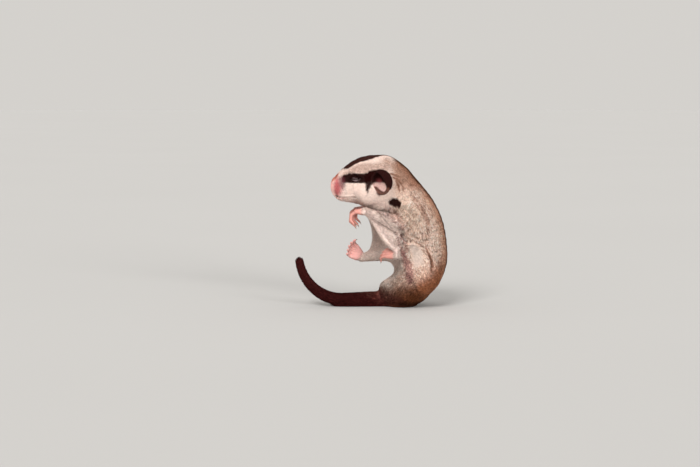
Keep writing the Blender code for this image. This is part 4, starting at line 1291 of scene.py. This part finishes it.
def tuft_mesh(name, roots, lengths, widths, colours, generator):
    """Closed tapered tufts of four faces, lying along the coat."""
    count = len(roots.at)
    normal = roots.normal
    stray = generator.normal(0, LIE_SPREAD, (count, 3))
    flow = roots.lie + stray * np.linalg.norm(roots.lie, axis=1)[:, None]
    along = unit(flow - (flow * normal).sum(axis=1)[:, None] * normal)
    across = np.cross(normal, along)
    rise = TUFT_RISE * generator.uniform(*RISE_SPREAD, count)
    lengths = lengths * generator.uniform(*LENGTH_SPREAD, count)
    sunk = roots.at - normal * TUFT_SUNK
    half = across * (widths / 2)[:, None]
    top = sunk + normal * TUFT_THICKNESS + along * 0.1 * lengths[:, None]
    tip = sunk + (along * np.cos(rise)[:, None] + normal * np.sin(rise)[:, None]) * lengths[:, None]
    points = np.stack((sunk - half, sunk + half, top, tip), axis=1)
    points[:, :, 2] = np.maximum(points[:, :, 2], LOWEST_TUFT)
    faces = np.array(((0, 2, 1), (0, 3, 2), (1, 2, 3), (0, 1, 3)))
    corners = (np.arange(count)[:, None, None] * 4 + faces).reshape(-1)
    mesh = bpy.data.meshes.new(name)
    mesh.vertices.add(count * 4)
    mesh.vertices.foreach_set("co", (points * MM).astype(np.float32).ravel())
    mesh.loops.add(len(corners))
    mesh.loops.foreach_set("vertex_index", corners.astype(np.int32))
    mesh.polygons.add(len(corners) // 3)
    mesh.polygons.foreach_set("loop_start", np.arange(0, len(corners), 3, dtype=np.int32))
    mesh.update(calc_edges=True)
    patch = np.array(((-0.5, -0.5), (0.5, -0.5), (0.0, -0.2), (0.0, 0.5))) * UV_PATCH
    layer = mesh.uv_layers.new(name="OFBake")
    uvs = (roots.uv[:, None, :] + patch).reshape(-1, 2)[corners]
    layer.data.foreach_set("uv", uvs.astype(np.float32).ravel())
    write_colours(mesh, (colours[:, None, :] * np.array(TUFT_SHADES)[:, None]).reshape(-1, 3))
    return shown(name, mesh)


RUMP_TOP = 20


def coat_regions(points):
    """Names each root's region, so that no coat piece grows too large."""
    tail = tail_share(points) > 0.5
    face = face_share(points) > 0.5
    limbs = np.zeros(len(points), bool)
    for side in (NEAR, FAR):
        bones = upper_arm(side) + forearm(side) + hand(side) + shank(side) + foot(side)
        limbs |= bones_distance(points, bones) < 0.8
    names = np.where(points[:, 2] > RUMP_TOP, "back", "rump").astype(object)
    names[limbs] = "limbs"
    names[face] = "head"
    names[tail] = "tail"
    side = np.where(points[:, 1] < 0, "left", "right").astype(object)
    return names, side


SLOTS = {
    "back": "back_coat",
    "rump": "back_coat",
    "limbs": "back_coat",
    "head": "face_coat",
    "tail": "tail_coat",
}


def dress(piece, material):
    """Gives a piece its material and its body."""
    piece.data.materials.append(material)
    piece.data.shade_smooth()
    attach(piece, "root")


def make_coat(skin, material):
    generator = np.random.default_rng(COAT_SEED)
    roots = scatter_roots(skin, generator)
    lengths, widths = tuft_sizes(roots.at, roots.bare)
    colours, swell = ticked(roots, coat_colour(roots.at), generator)
    widths = widths * swell
    names, sides = coat_regions(roots.at)
    for name, slot in SLOTS.items():
        for side in SIDES:
            chosen = np.flatnonzero((names == name) & (sides == side))
            pieces = max(1, math.ceil(len(chosen) / TUFTS_IN_A_PIECE))
            order = chosen[np.argsort(roots.at[chosen, 2], kind="stable")]
            for number, part in enumerate(np.array_split(order, pieces)):
                tufts = Roots(*(field[part] for field in roots)), lengths[part], widths[part], colours[part]
                piece = tuft_mesh(f"coat_{name}_{side}_{number}", *tufts, generator)
                dress(piece, material)


def add_node(tree, kind, **settings):
    """A new shader node, with settings for its own properties or for its inputs."""
    node = tree.nodes.new(kind)
    for name, value in settings.items():
        if hasattr(node, name):
            setattr(node, name, value)
        else:
            node.inputs[name.replace("_", " ")].default_value = value
    return node


def plain_material(name, roughness, **inputs):
    """A material with its tree and its shader node."""
    made = bpy.data.materials.new(name)
    made.use_nodes = True
    shader = made.node_tree.nodes["Principled BSDF"]
    shader.inputs["Roughness"].default_value = roughness
    for key, value in inputs.items():
        shader.inputs[key.replace("_", " ")].default_value = value
    return made, made.node_tree, shader


def place_in(tree, texture):
    """Sets a texture by places on the object."""
    coordinates = add_node(tree, "ShaderNodeTexCoord")
    tree.links.new(coordinates.outputs["Object"], texture.inputs["Vector"])
    return texture


def mottled(tree, shader, scale, low, high):
    """Colours the shader by the coat's tint, made lighter and darker by noise."""
    tint = add_node(tree, "ShaderNodeAttribute", attribute_name="tint")
    lumps = place_in(tree, add_node(tree, "ShaderNodeTexNoise", Scale=scale, Detail=3.0))
    span = add_node(tree, "ShaderNodeMapRange", From_Min=0.3, From_Max=0.7, To_Min=low, To_Max=high)
    tree.links.new(lumps.outputs["Fac"], span.inputs["Value"])
    shade = add_node(tree, "ShaderNodeVectorMath", operation="SCALE")
    tree.links.new(tint.outputs["Color"], shade.inputs[0])
    tree.links.new(span.outputs["Result"], shade.inputs["Scale"])
    tree.links.new(shade.outputs["Vector"], shader.inputs["Base Color"])


def grained(tree, shader, texture, low, high):
    """Colours the shader by a noise that runs from a low colour to a high one."""
    ramp = add_node(tree, "ShaderNodeValToRGB")
    for element, colour in zip(ramp.color_ramp.elements, (low, high)):
        element.color = (*colour, 1)
    tree.links.new(texture.outputs["Fac"], ramp.inputs["Fac"])
    tree.links.new(ramp.outputs["Color"], shader.inputs["Base Color"])


def coat_material():
    material, tree, shader = plain_material("coat_fur", 1.0, Specular_IOR_Level=0.0)
    mottled(tree, shader, 1400.0, 0.88, 1.12)
    return material


DRY_ROUGHNESS = 0.95
WET_ROUGHNESS = 0.38


def skin_material():
    """Skin with a fine grain, dull under the coat and moist on the nose, lips, lids and paws."""
    material, tree, shader = plain_material(
        "glider_skin",
        0.6,
        Specular_IOR_Level=0.16,
        Subsurface_Weight=0.08,
        Subsurface_Radius=(1.0, 0.35, 0.2),
        Subsurface_Scale=0.6 * MM,
    )
    mottled(tree, shader, 1800.0, 0.9, 1.1)
    wet = add_node(tree, "ShaderNodeAttribute", attribute_name="wet")
    gloss = add_node(tree, "ShaderNodeMapRange", To_Min=DRY_ROUGHNESS, To_Max=WET_ROUGHNESS)
    tree.links.new(wet.outputs["Fac"], gloss.inputs["Value"])
    tree.links.new(gloss.outputs["Result"], shader.inputs["Roughness"])
    cells = place_in(tree, add_node(tree, "ShaderNodeTexVoronoi", Scale=3600.0))
    bump = add_node(tree, "ShaderNodeBump", Strength=0.35, Distance=0.06 * MM)
    tree.links.new(cells.outputs["Distance"], bump.inputs["Height"])
    tree.links.new(bump.outputs["Normal"], shader.inputs["Normal"])
    return material


def dress_skin(skin):
    """Colours the skin, darkened by painted shade under the coat, and puts it in place of every node of
    flesh.
    """
    points = places(skin.data)
    bare = bareness(points)
    colours = coat_colour(points)
    # Painted shade: the skin's colour is darkened under the coat, less where the skin is bare.
    write_colours(skin.data, colours * (0.75 + 0.25 * bare)[:, None])
    layer = skin.data.attributes.new("wet", "FLOAT", "POINT")
    layer.data.foreach_set("value", wetness(points).astype(np.float32))
    skin.data.materials.clear()
    dress(skin, skin_material())
    flesh = [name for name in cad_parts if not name.startswith("eye_")]
    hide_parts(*flesh)


def make_eyes():
    """The wet slivers of the eyes between the lids."""
    material, tree, shader = plain_material("wet_eye", 0.15, Specular_IOR_Level=0.3, Coat_Weight=0.1)
    rim = place_in(tree, add_node(tree, "ShaderNodeTexNoise", Scale=1500.0))
    grained(tree, shader, rim, (0.012, 0.006, 0.006), (0.05, 0.025, 0.022))
    for word, side in SIDES.items():
        centre, outward, along, up = eye_axes(side)
        bm = bmesh.new()
        bmesh.ops.create_uvsphere(bm, u_segments=40, v_segments=24, radius=1)
        bmesh.ops.scale(bm, vec=Vector(EYE_HALF_SIZES) * MM, verts=bm.verts)
        turn = Matrix((along, up, outward)).transposed().to_4x4()
        sunk = centre - outward * EYE_SUNK
        bmesh.ops.transform(bm, matrix=Matrix.Translation(sunk * MM) @ turn, verts=bm.verts)
        eye = object_from(bm, f"wet_eye_{word}")
        dress(eye, material)
        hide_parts(f"eye_{word}")


def add_tube(bm, centres, radii, sides):
    """A closed tapered tube through points, in millimetres."""
    centres = [Vector(c) for c in centres]
    rings = []
    for i, (centre, radius) in enumerate(zip(centres, radii)):
        way = (centres[min(i + 1, len(centres) - 1)] - centres[max(i - 1, 0)]).normalized()
        turn = way.to_track_quat("Z", "Y")
        ring = []
        for k in range(sides):
            angle = 2 * math.pi * k / sides
            spoke = turn @ Vector((math.cos(angle), math.sin(angle), 0)) * radius
            ring.append(bm.verts.new((centre + spoke) * MM))
        rings.append(ring)
    for first, second in zip(rings, rings[1:]):
        for k in range(sides):
            bm.faces.new((first[k], first[(k + 1) % sides], second[(k + 1) % sides], second[k]))
    bm.faces.new(rings[0][::-1])
    bm.faces.new(rings[-1])


HOOK_BEND = 0.45


def hooked(start, way, down, length, steps):
    """Points along a curve that starts along way and bends towards down."""
    start, way, down = Vector(start), Vector(way).normalized(), Vector(down) * HOOK_BEND
    return [start + way * length * t + down * length * t * t for t in np.linspace(0, 1, steps)]


CLAW_LENGTH = 1.15
CLAW_SUNK = 0.25
CLAW_SIDES = 10
CLAW_RADII = (0.2, 0.21, 0.19, 0.15, 0.11, 0.06, 0.015)


def make_claws():
    material, tree, shader = plain_material("claw_horn", 0.3, Specular_IOR_Level=0.5)
    wave = place_in(tree, add_node(tree, "ShaderNodeTexNoise", Scale=900.0))
    grained(tree, shader, wave, (0.10, 0.05, 0.04), (0.45, 0.30, 0.24))
    for word, side in SIDES.items():
        for name, bones, palm in (
            ("hand", hand(side), PALM_SIDE),
            ("foot", foot(side), flipped(FOOT_SOLE[side], side)),
        ):
            bm = bmesh.new()
            for bone in bones[3::4]:
                way = Vector(bone.end) - Vector(bone.start)
                start = Vector(bone.end) - way.normalized() * CLAW_SUNK
                route = hooked(start, way, Vector(palm).normalized(), CLAW_LENGTH, len(CLAW_RADII))
                add_tube(bm, route, CLAW_RADII, CLAW_SIDES)
            dress(object_from(bm, f"claws_{name}_{word}"), material)


WHISKER_SEED = 3
WHISKER_SUNK = 0.15
WHISKER_WAY = (0.55, 0.8, -0.12)
WHISKER_LIFT = 0.4
WHISKER_DROOP = (0.35, 0, -0.25)
SHORTEST_WHISKER = 1.0
LENGTH_GAIN = 0.4
WHISKER_SIDES = 5
WHISKER_RADII = (0.045, 0.04, 0.035, 0.028, 0.02, 0.008)

# The whiskers over the eye: place, length and direction, for the far side.
BROW_WHISKERS = (
    ((-22.6, 6.0, 50.2), 2.0, (-0.1, 0.45, 0.9)),
    ((-21.0, 7.5, 51.2), 1.6, (-0.35, 0.5, 0.8)),
    ((-20.2, 7.5, 51.4), 1.3, (-0.1, 0.5, 0.85)),
)


def make_whiskers(skin):
    material, tree, shader = plain_material("whisker_hair", 0.35, Specular_IOR_Level=0.4)
    grain = add_node(tree, "ShaderNodeTexNoise", Scale=2500.0)
    grained(tree, shader, grain, (0.02, 0.01, 0.008), (0.10, 0.06, 0.05))
    generator = np.random.default_rng(WHISKER_SEED)
    tree_of_skin = BVHTree.FromObject(skin, bpy.context.evaluated_depsgraph_get())
    for word, side in SIDES.items():
        bm = bmesh.new()
        starts = []
        for number, place in enumerate(pore_places(side)):
            length = SHORTEST_WHISKER + LENGTH_GAIN * (number % PORES_IN_A_ROW)
            starts.append((place, length, flipped(WHISKER_WAY, side)))
        starts += [(flipped(at, side), length, flipped(way, side)) for at, length, way in BROW_WHISKERS]
        for place, length, way in starts:
            root, normal, _, _ = tree_of_skin.find_nearest(Vector(place) * MM)
            root = root / MM - normal * WHISKER_SUNK
            way = Vector(way) + Vector(generator.normal(0, 0.12, 3))
            way = way.normalized() + normal * WHISKER_LIFT
            route = hooked(root, way, WHISKER_DROOP, length, len(WHISKER_RADII))
            add_tube(bm, route, WHISKER_RADII, WHISKER_SIDES)
        dress(object_from(bm, f"whiskers_{word}"), material)


CAMERA_DISTANCE = 628.0
CAMERA_TARGET = (-20.9, 0.0, 27.66)
CAMERA_ELEVATION = math.radians(5)
CAMERA_LENS = 85.0
CAMERA_SENSOR = 36.0


def make_camera():
    data = bpy.data.cameras.new("camera")
    data.lens = CAMERA_LENS
    data.sensor_width = CAMERA_SENSOR
    data.clip_start = 0.01
    camera = shown("camera", data)
    away = Vector((0, -math.cos(CAMERA_ELEVATION), math.sin(CAMERA_ELEVATION)))
    camera.location = (Vector(CAMERA_TARGET) + away * CAMERA_DISTANCE) * MM
    camera.rotation_euler = (-away).to_track_quat("-Z", "Y").to_euler()
    bpy.context.scene.camera = camera


SUN_SOFTNESS = math.radians(25)
SUN_COLOUR = (1.0, 0.975, 0.945)
SUNS = (("key", (-0.35, -0.80, 0.72), 2.1), ("fill", (0.55, -0.80, 0.22), 2.3))
FLOOR_RADIUS = 6.0
FLOOR_COLOUR = (0.529, 0.528, 0.524)
WORLD_COLOUR = (0.66, 0.64, 0.61)


def make_sun(name, place, power):
    data = bpy.data.lights.new(name, "SUN")
    data.angle = SUN_SOFTNESS
    data.energy = power
    data.color = SUN_COLOUR
    light = shown(name, data)
    light.location = place
    light.rotation_euler = Vector(place).to_track_quat("Z", "Y").to_euler()


def make_studio():
    """A plain pale floor that runs into the background, and soft light from both sides of the camera."""
    bm = bmesh.new()
    bmesh.ops.create_circle(bm, cap_ends=True, segments=64, radius=FLOOR_RADIUS)
    floor = object_from(bm, "floor")
    material, tree, shader = plain_material("pale_floor", 0.9, Specular_IOR_Level=0.1)
    grain = add_node(tree, "ShaderNodeTexNoise", Scale=60.0)
    grained(tree, shader, grain, *([shade * c for c in FLOOR_COLOUR] for shade in (0.985, 1.015)))
    floor.data.materials.append(material)
    world = bpy.data.worlds.new("studio")
    world.use_nodes = True
    world.node_tree.nodes["Background"].inputs["Color"].default_value = (*WORLD_COLOUR, 1)
    bpy.context.scene.world = world
    for name, place, power in SUNS:
        make_sun(name, place, power)
    bpy.context.scene.view_settings.view_transform = "Standard"


def main():
    make_camera()
    make_studio()
    skin = make_skin()
    unwrap(skin)
    dress_skin(skin)
    make_coat(skin, coat_material())
    make_eyes()
    make_claws()
    make_whiskers(skin)


main()
